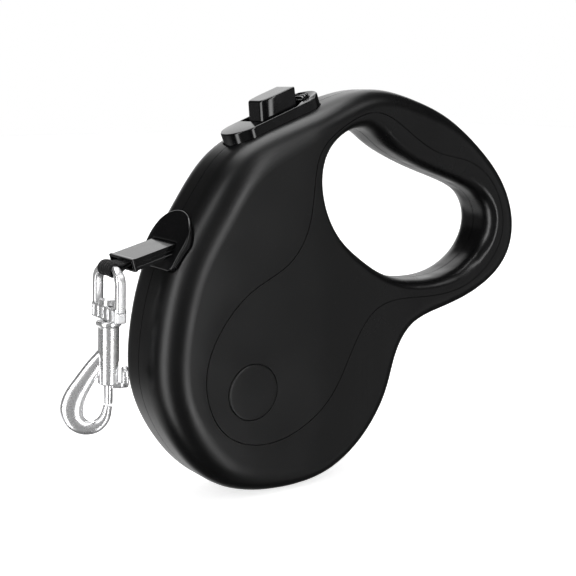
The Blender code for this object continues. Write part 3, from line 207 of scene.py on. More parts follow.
SLEEVE_WIDTH = 18.0 * MM
SLEEVE_HIGH = 4.85 * MM
SLEEVE_WALL = 1.0 * MM
SLEEVE_OUT = 17.4 * MM
SLEEVE_IN = 4.0 * MM
SLEEVE_LIP = 1.7 * MM
SLEEVE_SOFT = 0.25 * MM
SLEEVE_FLARE = 0.2 * MM
SLEEVE_NOTCH = 0.3 * MM  # behind the lip
SLEEVE_GROOVES = in_mm(  # deep, and up its side
    (0, -0.9), (0.25, -0.7), (0.25, -0.3), (0, -0.1), (0, 0.5), (0.2, 0.65), (0.2, 0.9), (0, 1.05),
)  # fmt: skip
SLOT_REACH = 12.0 * MM
SLOT_CORNER = 0.8 * MM
TAPE_WIDTH = 15.0 * MM
TAPE_THICK = 0.95 * MM
TAPE_RIBS = (10, 0.05 * MM)  # how many, and how deep
TAPE_FROM = -7.0 * MM  # the drawn part of the tape, from the mouth
TAPE_TO = -1.5 * MM
STRIP_EDGE = 0.35  # how thick a woven strip is at its edges, of its full thickness
LOOP_WIDTH = 9.6 * MM
LOOP_THICK = 1.3 * MM
LOOP_RIBS = (7, 0.22 * MM)
LOOP_AHEAD = SLEEVE_OUT + 5.0 * MM
LOOP_LEG = 0.56 * MM  # from the middle to each of the loop's two layers
LOOP_LEG_AT = (2.0 * MM, 10.0 * MM, SLEEVE_OUT)
LOOP_CLEAR = 0.35 * MM  # to the eye's wire
LOOP_THICKENS = (SLEEVE_OUT - 2 * MM, LOOP_AHEAD - 1.5 * MM)
LOOP_DROOP = 0.55 * MM
LOOP_MEETS = 0.35  # radians of the roll that the legs take up
BEZEL_HALF = 14.0 * MM
BEZEL_ABOVE = 15.5 * MM
BEZEL_BELOW = 8.0 * MM
BEZEL_ARCH = 0.9  # the arch's rise over its half width
BEZEL_FOOT = 1.2 * MM  # how much narrower the foot is, on each side
BEZEL_CORNER = 3.0 * MM
BEZEL_PROUD = 0.9 * MM
BEZEL_SUNK = 0.7 * MM
BEZEL_EDGE = 0.6 * MM
BEZEL_UNDERCUT = 0.7 * MM
BEZEL_CURVE = 0.75  # of the housing's roundness, in the plate's face

# ---- Sizes of the bolt snap ----

WIRE = 1.3 * MM
LEG_DEEP = 1.9 * MM
LEG_FROM = (4.5 * MM, 8.5 * MM)
EYE_HALF = 9.0 * MM
EYE_CORNER = 5.6 * MM
EYE_BELOW = 13.6 * MM
BLOCK_HIGH = 5.2 * MM
BLOCK_DEEP = 4.8 * MM
BLOCK_HALF = 9.8 * MM
BLOCK_CORNER = 0.9 * MM
FLUTE_RADIUS = 0.6 * MM
FLUTE_APART = 3.9 * MM
STUD_RADIUS = 1.5 * MM
STUD_HEAD = 3.3 * MM
STUD_HEAD_THICK = 2.0 * MM
COLLAR_RADIUS = 4.6 * MM
COLLAR_HIGH = 2.0 * MM
BARREL_RADIUS = 3.8 * MM
BARREL_LONG = 21.5 * MM
HOOK_BEVEL = 0.5 * MM
NECK_SLOPE = 0.2 * MM
ARM_HALF = 2.0 * MM  # the most that the hook's arm is thick, from its middle
BOLT_RADIUS = 1.6 * MM
BOLT_SHOWS = 8.0 * MM
BOLT_GUIDED = 5.5 * MM
BOLT_TRAVEL = 7.5 * MM
BORE_DEEP = 17.5 * MM
KNOB_RADIUS = 4.0 * MM
KNOB_THICK = 2.4 * MM
KNOB_OUT = 4.7 * MM
KNOB_STEM = 2.2 * MM
KNOB_EDGE = 0.8 * MM
KNOB_DROP = -1.6 * MM
SNAP_YAW = -20.0  # degrees that the hook hangs turned under its eye
EYE_VOXEL = 0.16 * MM  # the castings' fineness
HOOK_VOXEL = 0.2 * MM
BLOCK_LOW = EYE_BELOW + BLOCK_HIGH
COLLAR_AT = BLOCK_LOW + GAP
BARREL_LOW = COLLAR_AT + COLLAR_HIGH + BARREL_LONG
HOOK_ARM = in_mm(  # out from the barrel's axis, over the hook's tip, and half the width
    (-1.5, 20.0, 2.2), (-5.0, 14.9, 3.0), (-9.1, 8.8, 3.4), (-12.0, 3.7, 3.9), (-13.1, -0.8, 4.1),
    (-12.1, -5.0, 3.6), (-8.8, -7.7, 2.9), (-4.6, -7.7, 2.4), (-1.4, -4.8, 2.0), (-0.1, 0.0, 1.6),
)  # fmt: skip

# ---- The studio ----

FLOOR_GLOW = 0.72  # of the floor, to the camera only
FLOOR_HALF = 3.0
LAMP_WAY = (0.0, 0.12, 1.0)
LAMP_AWAY = 0.9
LAMP_SIZE = (0.6, 0.5)
LAMP_POWER = 5.0
ROOM_LIGHT = 0.045
SKY_SOFT = 0.12  # how a patch fades over its upper and lower edges
SKY_PATCHES = (  # compass direction, half width and soft margin in degrees, lowest and highest z, strength
    ((-0.934, -0.358), 6.5, 5.0, -0.75, 0.75, 9.0),  # the tall soft box ahead
    ((0.2, -0.98), 4.0, 3.0, -0.75, 0.88, 10.2),  # the tall narrow one at the left side
    ((-0.576, -0.817), 24.0, 8.0, -0.75, 0.75, 0.18),  # the room behind the camera
    ((0.76, -0.65), 24.0, 12.0, -0.95, 0.3, 0.39),  # the screen that the flat side mirrors
    ((0.79, -0.61), 12.0, 8.0, 0.6, 0.8, 3.2),  # a lamp high over that screen
    ((0.5, 0.87), 20.0, 10.0, 0.2, 1.0, 1.8),  # the upper wall behind, in the tops of sleeve and button
    ((0.42, 0.91), 18.0, 7.0, -0.45, 0.2, 1.4),  # the lower wall behind, along the front rim
    ((-0.57, 0.82), 25.0, 12.0, -0.5, 0.2, 0.22),  # the far corner, which lights the right side
    ((-0.3, 0.95), 45.0, 20.0, -0.72, -0.42, 1.3),  # the table behind, in the grip's inner face
)
CAMERA_TURN = radians(-35.2)
CAMERA_LIFT = radians(10.5)
CAMERA_AWAY = 0.4336
CAMERA_AIM = DRUM + Vector((9.0, 0.0, 23.0)) * MM
CAMERA_LENS = 67.75
CAMERA_NEAR = 0.01


# ---- Materials ----


class Nodes:
    """A node tree, with short ways to add nodes and to feed their inputs."""

    def __init__(self, tree):
        self.tree = tree

    def feed(self, socket, value):
        """Links an input to another node's output, or gives it a plain value."""
        if isinstance(value, bpy.types.NodeSocket):
            self.tree.links.new(value, socket)
        else:
            socket.default_value = value

    def node(self, kind, **inputs):
        """A new node; underscores stand for the spaces in its inputs' names."""
        made = self.tree.nodes.new("ShaderNode" + kind)
        for name, value in inputs.items():
            self.feed(made.inputs[name.replace("_", " ")], value)
        return made

    def joined(self, kind, *values):
        """The first output of a new node whose inputs are fed in their order."""
        made = self.node(kind)
        for socket, value in zip(made.inputs, values):
            self.feed(socket, value)
        return made.outputs[0]

    def maths(self, operation, first, second):
        result = self.joined("Math", first, second)
        result.node.operation = operation
        return result

    def ramp(self, value, low, high, out_low=0.0, out_high=1.0):
        made = self.node("MapRange", Value=value, From_Min=low, From_Max=high)
        self.feed(made.inputs["To Min"], out_low)
        self.feed(made.inputs["To Max"], out_high)
        return made.outputs["Result"]


class Shader(Nodes):
    """A Principled material with noise, bump and mixing added node by node."""

    def __init__(self, name, colour, roughness, metallic=0.0, specular=0.5):
        self.material = bpy.data.materials.new(name)
        self.material.use_nodes = True
        super().__init__(self.material.node_tree)
        self.principled = self.tree.nodes["Principled BSDF"]
        self.set("Base Color", (*colour, 1.0))
        self.set("Roughness", roughness)
        self.set("Metallic", metallic)
        self.set("Specular IOR Level", specular)
        self.place = self.node("TexCoord").outputs["Object"]

    def set(self, socket, value):
        self.principled.inputs[socket].default_value = value

    def scaled(self, scale):
        """The object's coordinates stretched by (x, y, z)."""
        return self.node("Mapping", Vector=self.place, Scale=scale).outputs["Vector"]

    def noise(self, scale, detail=2.0, where=None, rough=0.5):
        where = where or self.place
        made = self.node("TexNoise", Vector=where, Scale=scale, Detail=detail, Roughness=rough)
        return made.outputs["Fac"]

    def mix(self, factor, first, second):
        """The first colour where the factor is 0, and the second where it is 1."""
        made = self.node("Mix")
        made.data_type = "RGBA"
        for socket, value in (("Factor", factor), (6, (*first, 1.0)), (7, (*second, 1.0))):
            self.feed(made.inputs[socket], value)
        return made.outputs[2]

    def stained(self, colour, times, value, low, high):
        """The colour, turning into a multiple of itself as a value goes from low to high."""
        return self.mix(self.ramp(value, low, high), colour, tuple(times * c for c in colour))

    def bump(self, height, distance, strength=1.0, below=None):
        made = self.node("Bump", Height=height, Distance=distance, Strength=strength)
        if below:
            self.feed(made.inputs["Normal"], below)
        return made.outputs["Normal"]

    def finish(self, colour, roughness, normal):
        for socket, source in (("Base Color", colour), ("Roughness", roughness), ("Normal", normal)):
            self.feed(self.principled.inputs[socket], source)
        return self.material


PLASTIC_SPECULAR = 0.33
CHROME_METALLIC = 0.84
BLACK = (0.0032, 0.0032, 0.0034)
DUST = (0.02, 0.02, 0.021)
GRIP_FROM = (-0.07, -0.02)  # the part's x over which the handle begins


def moulded(name, colour, lighter, roughness, grain, grain_deep, waves=0.0):
    """Moulded plastic: an even texture, small changes of gloss, a little dust, and a wavy smoother grip."""
    shader = Shader(name, colour, roughness, specular=PLASTIC_SPECULAR)
    rough = shader.ramp(shader.noise(38.0, 3.0), 0.3, 0.7, roughness - 0.04, roughness + 0.05)
    dust = shader.ramp(shader.noise(900.0, 2.0), 0.66, 0.8, 0.0, 0.5)
    normal = shader.bump(shader.noise(grain, 3.0), grain_deep)
    if waves:
        along = shader.node("SeparateXYZ", Vector=shader.place).outputs["X"]
        grip = shader.ramp(along, *GRIP_FROM)
        normal = shader.bump(shader.maths("MULTIPLY", shader.noise(75.0, 1.5), grip), waves, 1.0, normal)
        rough = shader.maths("ADD", rough, shader.ramp(grip, 0.0, 1.0, 0.0, -0.1))
    return shader.finish(shader.mix(dust, colour, lighter), rough, normal)


def polished(name, colour, roughness):
    """Polished plastic with faint smears and hairline scratches."""
    shader = Shader(name, colour, roughness, specular=PLASTIC_SPECULAR)
    smear = shader.noise(140.0, 4.0)
    rough = shader.ramp(smear, 0.35, 0.75, roughness, roughness + 0.1)
    scratch = shader.noise(60.0, 6.0, shader.scaled((1.0, 22.0, 9.0)), 0.7)
    wave = shader.noise(90.0, 1.0)
    normal = shader.bump(shader.ramp(scratch, 0.68, 0.72), 0.000006, 0.5, shader.bump(wave, 0.00006))
    return shader.finish(shader.stained(colour, 3.0, smear, 0.5, 0.9), rough, normal)


def plated(name, colour, roughness):
    """Satin chrome over a casting: smudges, tiny pits and a slight orange peel."""
    shader = Shader(name, colour, roughness, CHROME_METALLIC)
    smudge = shader.noise(260.0, 4.0)
    rough = shader.ramp(smudge, 0.45, 0.8, roughness, roughness + 0.03)
    peel = shader.noise(420.0, 2.0)
    pits = shader.ramp(shader.noise(1500.0, 1.0), 0.72, 0.8, 0.0, -1.0)
    normal = shader.bump(pits, 0.000002, 0.5, shader.bump(peel, 0.000002))
    return shader.finish(shader.stained(colour, 0.8, smudge, 0.5, 0.9), rough, normal)


def drawn_steel(name, colour, roughness, along):
    """Steel with fine lines along the way it was drawn or turned."""
    shader = Shader(name, colour, roughness, 1.0)
    lines = shader.noise(900.0, 3.0, shader.scaled(along), 0.6)
    rough = shader.ramp(lines, 0.3, 0.7, roughness - 0.05, roughness + 0.12)
    tint = shader.stained(colour, 0.72, shader.noise(55.0, 3.0), 0.5, 0.8)
    return shader.finish(tint, rough, shader.bump(lines, 0.00001))


def woven(name, colour, lighter):
    """Tightly woven tape: crossing ribs with lighter threads."""
    shader = Shader(name, colour, 0.85, specular=PLASTIC_SPECULAR)
    shader.set("Sheen Weight", 0.08)
    shader.set("Sheen Roughness", 0.5)
    heights = []
    for direction in ("X", "Y"):
        wave = shader.node("TexWave", Vector=shader.place, Scale=330.0, Distortion=0.6, Detail=1.0)
        wave.bands_direction = direction
        heights.append(wave.outputs["Fac"])
    weave = shader.maths("MULTIPLY", *heights)
    fibre = shader.noise(2600.0, 2.0)
    height = shader.maths("ADD", weave, shader.ramp(fibre, 0.3, 0.7, 0.0, 0.35))
    tint = shader.mix(shader.maths("MULTIPLY", weave, fibre), colour, lighter)
    return shader.finish(tint, shader.ramp(fibre, 0.3, 0.7, 0.75, 0.95), shader.bump(height, 0.00018))


SHELL = moulded("shell_black", BLACK, DUST, 0.33, 2100.0, 0.000018, 0.0005)
SOFT = moulded("panel_black", BLACK, DUST, 0.35, 2300.0, 0.000016, 0.0007)
GLOSS = polished("gloss_black", (0.0035, 0.0035, 0.0038), 0.09)
WEBBING = woven("tape_black", (0.004, 0.004, 0.0043), (0.022, 0.022, 0.023))
CHROME = plated("chrome", (0.96, 0.96, 0.97), 0.27)
NYLON = moulded("spool_white", (0.72, 0.72, 0.69), (0.6, 0.58, 0.54), 0.42, 1500.0, 0.00001)
STEEL = drawn_steel("steel", (0.58, 0.58, 0.6), 0.28, (1.0, 0.05, 1.0))
SPRING = drawn_steel("spring_steel", (0.3, 0.31, 0.34), 0.3, (0.2, 0.02, 0.2))
FINISHES = dict(housing=SHELL, panel=SOFT, gloss=GLOSS, webbing=WEBBING)
FINISHES.update(spool=NYLON, steel=STEEL, chrome=CHROME)


# ---- Shapes ----


class Place:
    """A point with two axes in its plane, a and b, and its normal."""

    def __init__(self, origin, a, b):
        self.origin = Vector(origin)
        self.a = Vector(a).normalized()
        self.b = Vector(b).normalized()
        self.normal = self.a.cross(self.b)

    def point(self, a, b, high):
        return self.origin + self.a * a + self.b * b + self.normal * high

    def ring(self, loop, high):
        return [self.point(a, b, high) for a, b in loop]

    def moved(self, a, b, high=0.0):
        return Place(self.point(a, b, high), self.a, self.b)


def world(x, z, y=0.0):
    return Vector((x + DRUM.x, y, z + DRUM.z))


def side_place(x=0.0, z=0.0):
    return Place(world(x, z), (1, 0, 0), (0, 0, 1))


def object_from(work, name, finish=None, sharp=35):
    bmesh.ops.recalc_face_normals(work, faces=work.faces)
    mesh = bpy.data.meshes.new(name)
    work.to_mesh(mesh)
    work.free()
    made = bpy.data.objects.new(name, mesh)
    bpy.context.collection.objects.link(made)
    dress(made, finish, sharp)
    return made


def dress(made, finish, sharp=35):
    """Gives an object its finish, and smooth shading but for edges sharper than so many degrees."""
    if finish:
        made.data.materials.clear()
        made.data.materials.append(finish)
    made.data.shade_smooth()
    made.data.set_sharp_from_angle(angle=radians(sharp))


def solid(name, verts, faces, finish=None, sharp=35):
    work = bmesh.new()
    points = [work.verts.new(v) for v in verts]
    for face in faces:
        work.faces.new([points[k] for k in face])
    return object_from(work, name, finish, sharp)


def loft(name, rings, finish=None, closed=False, sharp=35):
    """Joins rings of points with as many points each; the ends are filled unless the rings close up."""
    size = len(rings[0])
    count = len(rings)
    faces = []
    for r in range(count if closed else count - 1):
        first = r * size
        second = (r + 1) % count * size
        for k in range(size):
            after = (k + 1) % size
            faces.append((first + k, first + after, second + after, second + k))
    if not closed:
        faces.append(tuple(range(size)))
        faces.append(tuple(range((count - 1) * size, count * size)))
    return solid(name, [p for ring in rings for p in ring], faces, finish, sharp)


def prism(name, loop, place, low, high):
    return loft(name, [place.ring(loop, low), place.ring(loop, high)])


def lathe(name, profile, place, sides, finish=None, sharp=35):
    """A closed profile of (radius, height) turned round the place's normal; radius 0 is on the axis."""
    verts = []
    rows = []
    for radius, height in profile:
        if radius == 0.0:
            rows.append([len(verts)] * sides)
            verts.append(place.point(0, 0, height))
            continue
        rows.append(list(range(len(verts), len(verts) + sides)))
        verts += place.ring(arc(0.0, 0.0, radius, 0, 360, sides)[:-1], height)
    faces = []
    for r, row in enumerate(rows):
        after = rows[(r + 1) % len(rows)]
        for k in range(sides):
            face = tuple(dict.fromkeys((row[k], row[(k + 1) % sides], after[(k + 1) % sides], after[k])))
            if len(face) > 2:
                faces.append(face)
    return solid(name, verts, faces, finish, sharp)


def rod(name, radius, place, low, high, sides=32, finish=None):
    return lathe(name, [(0.0, low), (radius, low), (radius, high), (0.0, high)], place, sides, finish)


def way_at(path, k):
    """The direction of a path of points at one of them."""
    return (path[min(k + 1, len(path) - 1)] - path[max(k - 1, 0)]).normalized()


def tube(name, path, across, up, square=1.0, sides=32):
    """A tube along a path; across gives its half width and its half depth along up at each point.

    A square below 1 flattens its four sides.
    """

    def bulged(value):
        return copysign(abs(value) ** square, value)

    rings = []
    for k, point in enumerate(path):
        side = way_at(path, k).cross(up).normalized()
        wide, deep = across[k]
        turns = arc(0.0, 0.0, 1.0, 0, 360, sides)[:-1]
        rings.append([point + side * wide * bulged(a) + up * deep * bulged(b) for a, b in turns])
    return loft(name, rings)


def settle(made):
    """Makes the result of an object's modifiers its own mesh."""
    seen = made.evaluated_get(bpy.context.evaluated_depsgraph_get())
    mesh = bpy.data.meshes.new_from_object(seen)
    made.modifiers.clear()
    made.data = mesh


def combine(made, tool, operation, finish=None, sharp=35):
    """Cuts, joins or intersects two solids; the tool is used up."""
    step = made.modifiers.new(operation.lower(), "BOOLEAN")
    step.operation = operation
    step.object = tool
    step.solver = "EXACT"
    settle(made)
    bpy.data.objects.remove(tool)
    dress(made, finish, sharp)
    return made


def cut(made, tool, finish=None, sharp=35):
    return combine(made, tool, "DIFFERENCE", finish, sharp)


def twin_of(made, name):
    twin = made.copy()
    twin.data = made.data.copy()
    twin.name = name
    bpy.context.collection.objects.link(twin)
    return twin


def cast(made, voxel, rounds):
    """Turns joined solids into one chromed casting with soft fillets where they meet."""
    remesh = made.modifiers.new("cast", "REMESH")
    remesh.mode = "VOXEL"
    remesh.voxel_size = voxel
    smooth = made.modifiers.new("smooth", "SMOOTH")
    smooth.factor = 0.5
    smooth.iterations = rounds
    settle(made)
    dress(made, CHROME, 60)


def grown(loop, distance):
    """An anticlockwise outline moved outwards."""
    loop = np.array(loop, float)
    along = np.roll(loop, -1, axis=0) - loop
    along /= np.linalg.norm(along, axis=1)[:, None]
    after = np.stack([along[:, 1], -along[:, 0]], axis=1)
    before = np.roll(after, 1, axis=0)
    mitre = (before + after) / (1.0 + np.sum(before * after, axis=1))[:, None]
    return loop + mitre * (np.ones(len(loop)) * distance)[:, None]


def evenly(loop, count):
    """The same closed line with evenly spaced points."""
    loop = np.array(loop, float)
    ends = np.vstack([loop, loop[:1]])
    length = np.concatenate([[0.0], np.cumsum(np.linalg.norm(np.diff(ends, axis=0), axis=1))])
    wanted = np.linspace(0.0, length[-1], count, endpoint=False)
    return np.stack([np.interp(wanted, length, ends[:, k]) for k in range(ends.shape[1])], axis=1)


def from_ahead(loop, middle=0.0):
    """The same closed loop from the first of its points that lie round from the a axis."""
    start = int(np.argmin([atan2(b, a - middle) % (2 * pi) for a, b in loop]))
    return np.roll(loop, -start, axis=0)


def smooth_loop(points, count):
    """Evenly spaced points, anticlockwise, on the smoothest closed curve through the given ones."""
    p = np.array(points, float)
    n = len(p)
    step = np.linalg.norm(np.roll(p, -1, axis=0) - p, axis=1) ** 0.5
    system = np.zeros((n, n))
    for k in range(n):
        system[k, k - 1] += step[k - 1]
        system[k, k] += 2 * (step[k - 1] + step[k])
        system[k, (k + 1) % n] += step[k]
    slope = (np.roll(p, -1, axis=0) - p) / step[:, None]
    bend = np.linalg.solve(system, 6 * (slope - np.roll(slope, 1, axis=0)))
    dense = []
    for k in range(n):
        after = (k + 1) % n
        for t in np.linspace(0.0, step[k], 40, endpoint=False):
            rest = step[k] - t
            curve = (bend[k] * rest**3 + bend[after] * t**3) / (6 * step[k])
            line = (p[k] / step[k] - bend[k] * step[k] / 6) * rest
            dense.append(curve + line + (p[after] / step[k] - bend[after] * step[k] / 6) * t)
    dense = np.array(dense)
    x, z = dense.T
    if np.sum(x * np.roll(z, -1) - np.roll(x, -1) * z) < 0:
        dense = dense[::-1]
    return evenly(dense, count)


def smooth_path(points, per_span):
    """Points on a smooth open curve through the given ones, in any number of dimensions."""
    p = np.array(points, float)
    p = np.vstack([2 * p[0] - p[1], p, 2 * p[-1] - p[-2]])
    path = []
    for k in range(1, len(p) - 2):
        for t in np.linspace(0.0, 1.0, per_span, endpoint=False):
            bend = 2 * p[k - 1] - 5 * p[k] + 4 * p[k + 1] - p[k + 2]
            rest = 3 * p[k] - p[k - 1] - 3 * p[k + 1] + p[k + 2]
            path.append(p[k] + (t * (p[k + 1] - p[k - 1]) + t * t * bend + t**3 * rest) / 2)
    path.append(p[-2])
    return path


def ease(x, limits):
    """0 before the first limit, 1 past the second, and a smooth step between them."""
    share = np.clip((x - limits[0]) / (limits[1] - limits[0]), 0.0, 1.0)
    return share * share * (3 - 2 * share)


def quarter(radius, steps):
    """A quarter round from a wall to its top, as (inset from the wall, drop from the top)."""
    return [(radius - a, radius - b) for a, b in arc(0.0, 0.0, radius, 0, 90, steps)]


def rectangle(a_low, a_high, b_low, b_high):
    return [(a_low, b_low), (a_high, b_low), (a_high, b_high), (a_low, b_high)]


def arc(a, b, radius, start, end, steps, rise=None):
    """Points on an arc about (a, b), from one angle in degrees to another; a rise makes it an ellipse's."""
    turns = [radians(start + (end - start) * k / steps) for k in range(steps + 1)]
    return [(a + radius * cos(t), b + (rise or radius) * sin(t)) for t in turns]


def rounded(half_a, half_b, radius):
    """A rectangle about the origin, with rounded corners."""
    loop = []
    for k, (a, b) in enumerate(rectangle(radius - half_a, half_a - radius, radius - half_b, half_b - radius)):
        loop += arc(a, b, radius, 180 + 90 * k, 270 + 90 * k, 5)
    return loop


def stadium(long, half):
    reach = long / 2 - half
    return arc(reach, 0.0, half, -90, 90, 24) + arc(-reach, 0.0, half, 90, 270, 24)


def piece(made, body, node=None):
    """Hands a finished piece to its body, in place of a CAD node if one is named."""
    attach(made, body)
    if node:
        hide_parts(node)


# ---- Outlines, and the places that pieces are built on ----


def drum_point(turn, stand):
    radius = DRUM_RADIUS + stand * MM
    return radius * cos(radians(turn)), radius * sin(radians(turn))


RIM_LOOP = smooth_loop([drum_point(turn, stand) for turn, stand in DRUM_RIM] + HANDLE_RIM, 240)
HOLE_LOOP = smooth_loop(FINGER_HOLE, 140)
PANEL_LOOP = smooth_loop(PANEL_EDGE, 200)
INNER_HALF = FACE - PANEL - GAP - FLOOR_WALL


def rim_way_at(spot):
    """The rim's direction at the point nearest to a spot, going anticlockwise."""
    k = int(np.argmin(np.linalg.norm(RIM_LOOP - spot, axis=1)))
    way = RIM_LOOP[(k + 3) % len(RIM_LOOP)] - RIM_LOOP[k - 3]
    return way / np.linalg.norm(way)


MOUTH, EXIT = joint("tape_pull")
EXIT_UP = Vector((EXIT.z, 0.0, -EXIT.x))
EXIT_PLACE = Place(MOUTH, (0, -1, 0), EXIT_UP)
MOUTH_WAY = rim_way_at(np.array([MOUTH.x - DRUM.x, MOUTH.z - DRUM.z]))
BEZEL = Place(MOUTH, (0, -1, 0), (-MOUTH_WAY[0], 0.0, -MOUTH_WAY[1]))
LOCK_AT, LOCK_WAY = joint("lock_slide")
TRAY_BACK = -LOCK_WAY
TRAY = Place(LOCK_AT, TRAY_BACK, (0, 1, 0)).moved(-LOCK_FRONT, 0, -LOCK_DATUM)
STEM_AT = (joint("brake_press")[0] - TRAY.origin).dot(TRAY_BACK)
SNAP_TOP = joint("eye_swing")[0]
SNAP_UP = joint("hook_swivel")[1]
EYE = Place(SNAP_TOP, Vector((0, 1, 0)).cross(SNAP_UP), (0, 1, 0))
HOOK_TURN = Matrix.Rotation(radians(SNAP_YAW), 3, SNAP_UP)
HOOK = Place(SNAP_TOP, HOOK_TURN @ EYE.a, HOOK_TURN @ EYE.b)


# ---- Housing ----


def body_solid(name, rim_grow, hole_grow, half, steps, hole_depth=HOLE_DEEP):
    """The housing's outer form with its rim, opening and faces moved; positive distances add material."""
    rim = grown(RIM_LOOP, rim_grow)
    hole = grown(HOLE_LOOP, -hole_grow)
    rim_edge = DRUM_EDGE + (GRIP_EDGE - DRUM_EDGE) * ease(rim[:, 0], EDGE_TAPER) + rim_grow
    rim_depth = DRUM_EDGE + rim_grow
    hole_edge = max(HOLE_EDGE + hole_grow, 2 * GAP)
    hole_deep = max(hole_depth + hole_grow, 2 * GAP)
    work = bmesh.new()
    rows = []
    for side in (-1, 1):
        for inset, drop in quarter(1.0, steps)[::side]:
            rim_y = side * (half - rim_depth * drop)
            hole_y = side * (half - hole_deep * drop)
            outer = [work.verts.new(world(x, z, rim_y)) for x, z in grown(rim, -rim_edge * inset)]
            inner = [work.verts.new(world(x, z, hole_y)) for x, z in grown(hole, hole_edge * inset)]
            rows.append((outer, inner))
    for row, after in zip(rows, rows[1:]):
        for first, second in zip(row, after):
            for k in range(len(first)):
                n = (k + 1) % len(first)
                work.faces.new((first[k], first[n], second[n], second[k]))
    for row in (rows[0], rows[-1]):
        edges = []
        for loop in row:
            edges += [work.edges.get((loop[k - 1], loop[k])) for k in range(len(loop))]
        bmesh.ops.triangle_fill(work, use_beauty=True, edges=edges)
    for x in np.linspace(*TAPER, TAPER_CUTS):
        geometry = work.verts[:] + work.edges[:] + work.faces[:]
        bmesh.ops.bisect_plane(work, geom=geometry, dist=1e-7, plane_co=world(x, 0.0), plane_no=(1, 0, 0))
    for vert in work.verts:
        share = float(ease(vert.co.x - DRUM.x, TAPER))
        vert.co.y *= 1 + (GRIP_HALF / FACE - 1) * share
    return object_from(work, name)


def form(name, grow=0.0, steps=EDGE_STEPS, hole_depth=HOLE_DEEP):
    """The housing's outer form, all of it moved out by the same distance."""
    return body_solid(name, grow, grow, FACE + grow, steps, hole_depth)


def slab(low, high):
    """All that lies between two distances to the left of the middle plane."""
    return prism("slab", rectangle(-FAR, FAR, -FAR, FAR), side_place(), low, high)


def half_space(side):
    return slab(GAP / 2, 2 * FACE) if side == -1 else slab(-2 * FACE, -GAP / 2)


def panel_prism(grow):
    return prism("edge", grown(PANEL_LOOP, grow), side_place(), -2 * FACE, 2 * FACE)


def well_outline():
    """The well's edge: square round the button, then a round-ended channel for the lock slider."""
    half = TRAY_HALF - TRAY_WALL
    channel = LOCK_HALF + GAP
    loop = [(CHANNEL_FROM, channel), (WELL_NARROWS, half), (WELL_FRONT, half)]
    loop += [(WELL_FRONT, -half), (WELL_NARROWS, -half), (CHANNEL_FROM, -channel)]
    return loop + arc(LOCK_REAR, 0.0, channel, -90, 90, 32)


def sleeve_outline():
    return rectangle(-SLEEVE_WIDTH / 2, SLEEVE_WIDTH / 2, -SLEEVE_HIGH / 2, SLEEVE_HIGH / 2)


def bezel_outline():
    """An arch over a flat foot with rounded corners."""
    rise = BEZEL_ARCH * BEZEL_HALF
    foot = BEZEL_HALF - BEZEL_FOOT - BEZEL_CORNER
    low = BEZEL_CORNER - BEZEL_BELOW
    loop = arc(0.0, BEZEL_ABOVE - rise, BEZEL_HALF, 0, 180, 40, rise)
    return loop + arc(-foot, low, BEZEL_CORNER, 180, 270, 8) + arc(foot, low, BEZEL_CORNER, 270, 360, 8)


def cut_openings(made, side=0):
    """Cuts the button's well, the sleeve's slot and, on the right, the screws' bores."""
    edge = grown(evenly(stadium(TRAY_LONG, TRAY_HALF), 96), GAP)
    cut(made, prism("well", edge, TRAY, -TRAY_SUNK - GAP, CLEAR))
    cut(made, prism("slot", grown(sleeve_outline(), 1.5 * GAP), EXIT_PLACE, -SLOT_REACH, SLOT_REACH))
    if side == 1:
        for k in range(SCREW_COUNT):
            spot = middle_of(f"housing_screw_{k + 1}") - DRUM
            cut(made, rod("bore", SCREW_BORE, side_place(spot.x, spot.z), -2 * FACE, -SCREW_SEAT))


def seam_rib():
    """Closes the gap between the two shells on the parting line.

    Known fault: the intersection loses the inside's cut, so a full disc is left where a thin rib was meant,
    and it runs through the pieces inside. With the slab before the inside, only the rib is left.
    """
    made = form("seam_rib", -SEAM_DEEP, INNER_STEPS)
    cut(made, form("inside", -2 * SEAM_DEEP, INNER_STEPS, HOLE_EDGE))
    combine(made, slab(-GAP / 2, GAP / 2), "INTERSECT")
    cut_openings(made)
    dress(made, SHELL)
    piece(made, "housing")


def shells():
    """The two half shells, with the panels' recess, the openings and the bezel's seat cut in."""
    shell = form("shell")
    cut(shell, body_solid("hollow", -WALL, -(WALL + PANEL + GAP), INNER_HALF, INNER_STEPS, HOLE_EDGE))
    for side_name, side in (("left", -1), ("right", 1)):
        half = twin_of(shell, side_name + "_shell")
        combine(half, half_space(side), "INTERSECT")
        cut_openings(half, side)
        cut(half, cut(panel_prism(GAP), form("core", -PANEL - GAP)))
        seat = prism("seat", grown(bezel_outline(), GAP), BEZEL, -DRUM_EDGE, DRUM_EDGE)
        cut(half, cut(seat, form("core", -BEZEL_SUNK - GAP)), SHELL)
        piece(half, "housing", "housing_" + side_name)
    bpy.data.objects.remove(shell)


def panels():
    """The inlay panels, each with a round seat for its badge."""
    skin = form("skin")
    combine(skin, panel_prism(0.0), "INTERSECT")
    cut(skin, form("core", -PANEL))
    for side_name, side in (("left", -1), ("right", 1)):
        half = twin_of(skin, side_name + "_panel")
        combine(half, half_space(side), "INTERSECT")
        low, high = (Vector(c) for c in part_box("badge_" + side_name))
        top = ((low.x + high.x) / 2, side * max(abs(low.y), abs(high.y)), (low.z + high.z) / 2)
        face = Place(top, (1, 0, 0), (0, 0, -side))
        radius = (high.x - low.x) / 2
        thick = high.y - low.y
        cut(half, rod("seat", radius + GAP, face, -thick - GAP, CLEAR, 96), SOFT)
        piece(half, "housing", "inlay_" + side_name)
        badge(side_name, face, radius, thick)
    bpy.data.objects.remove(skin)


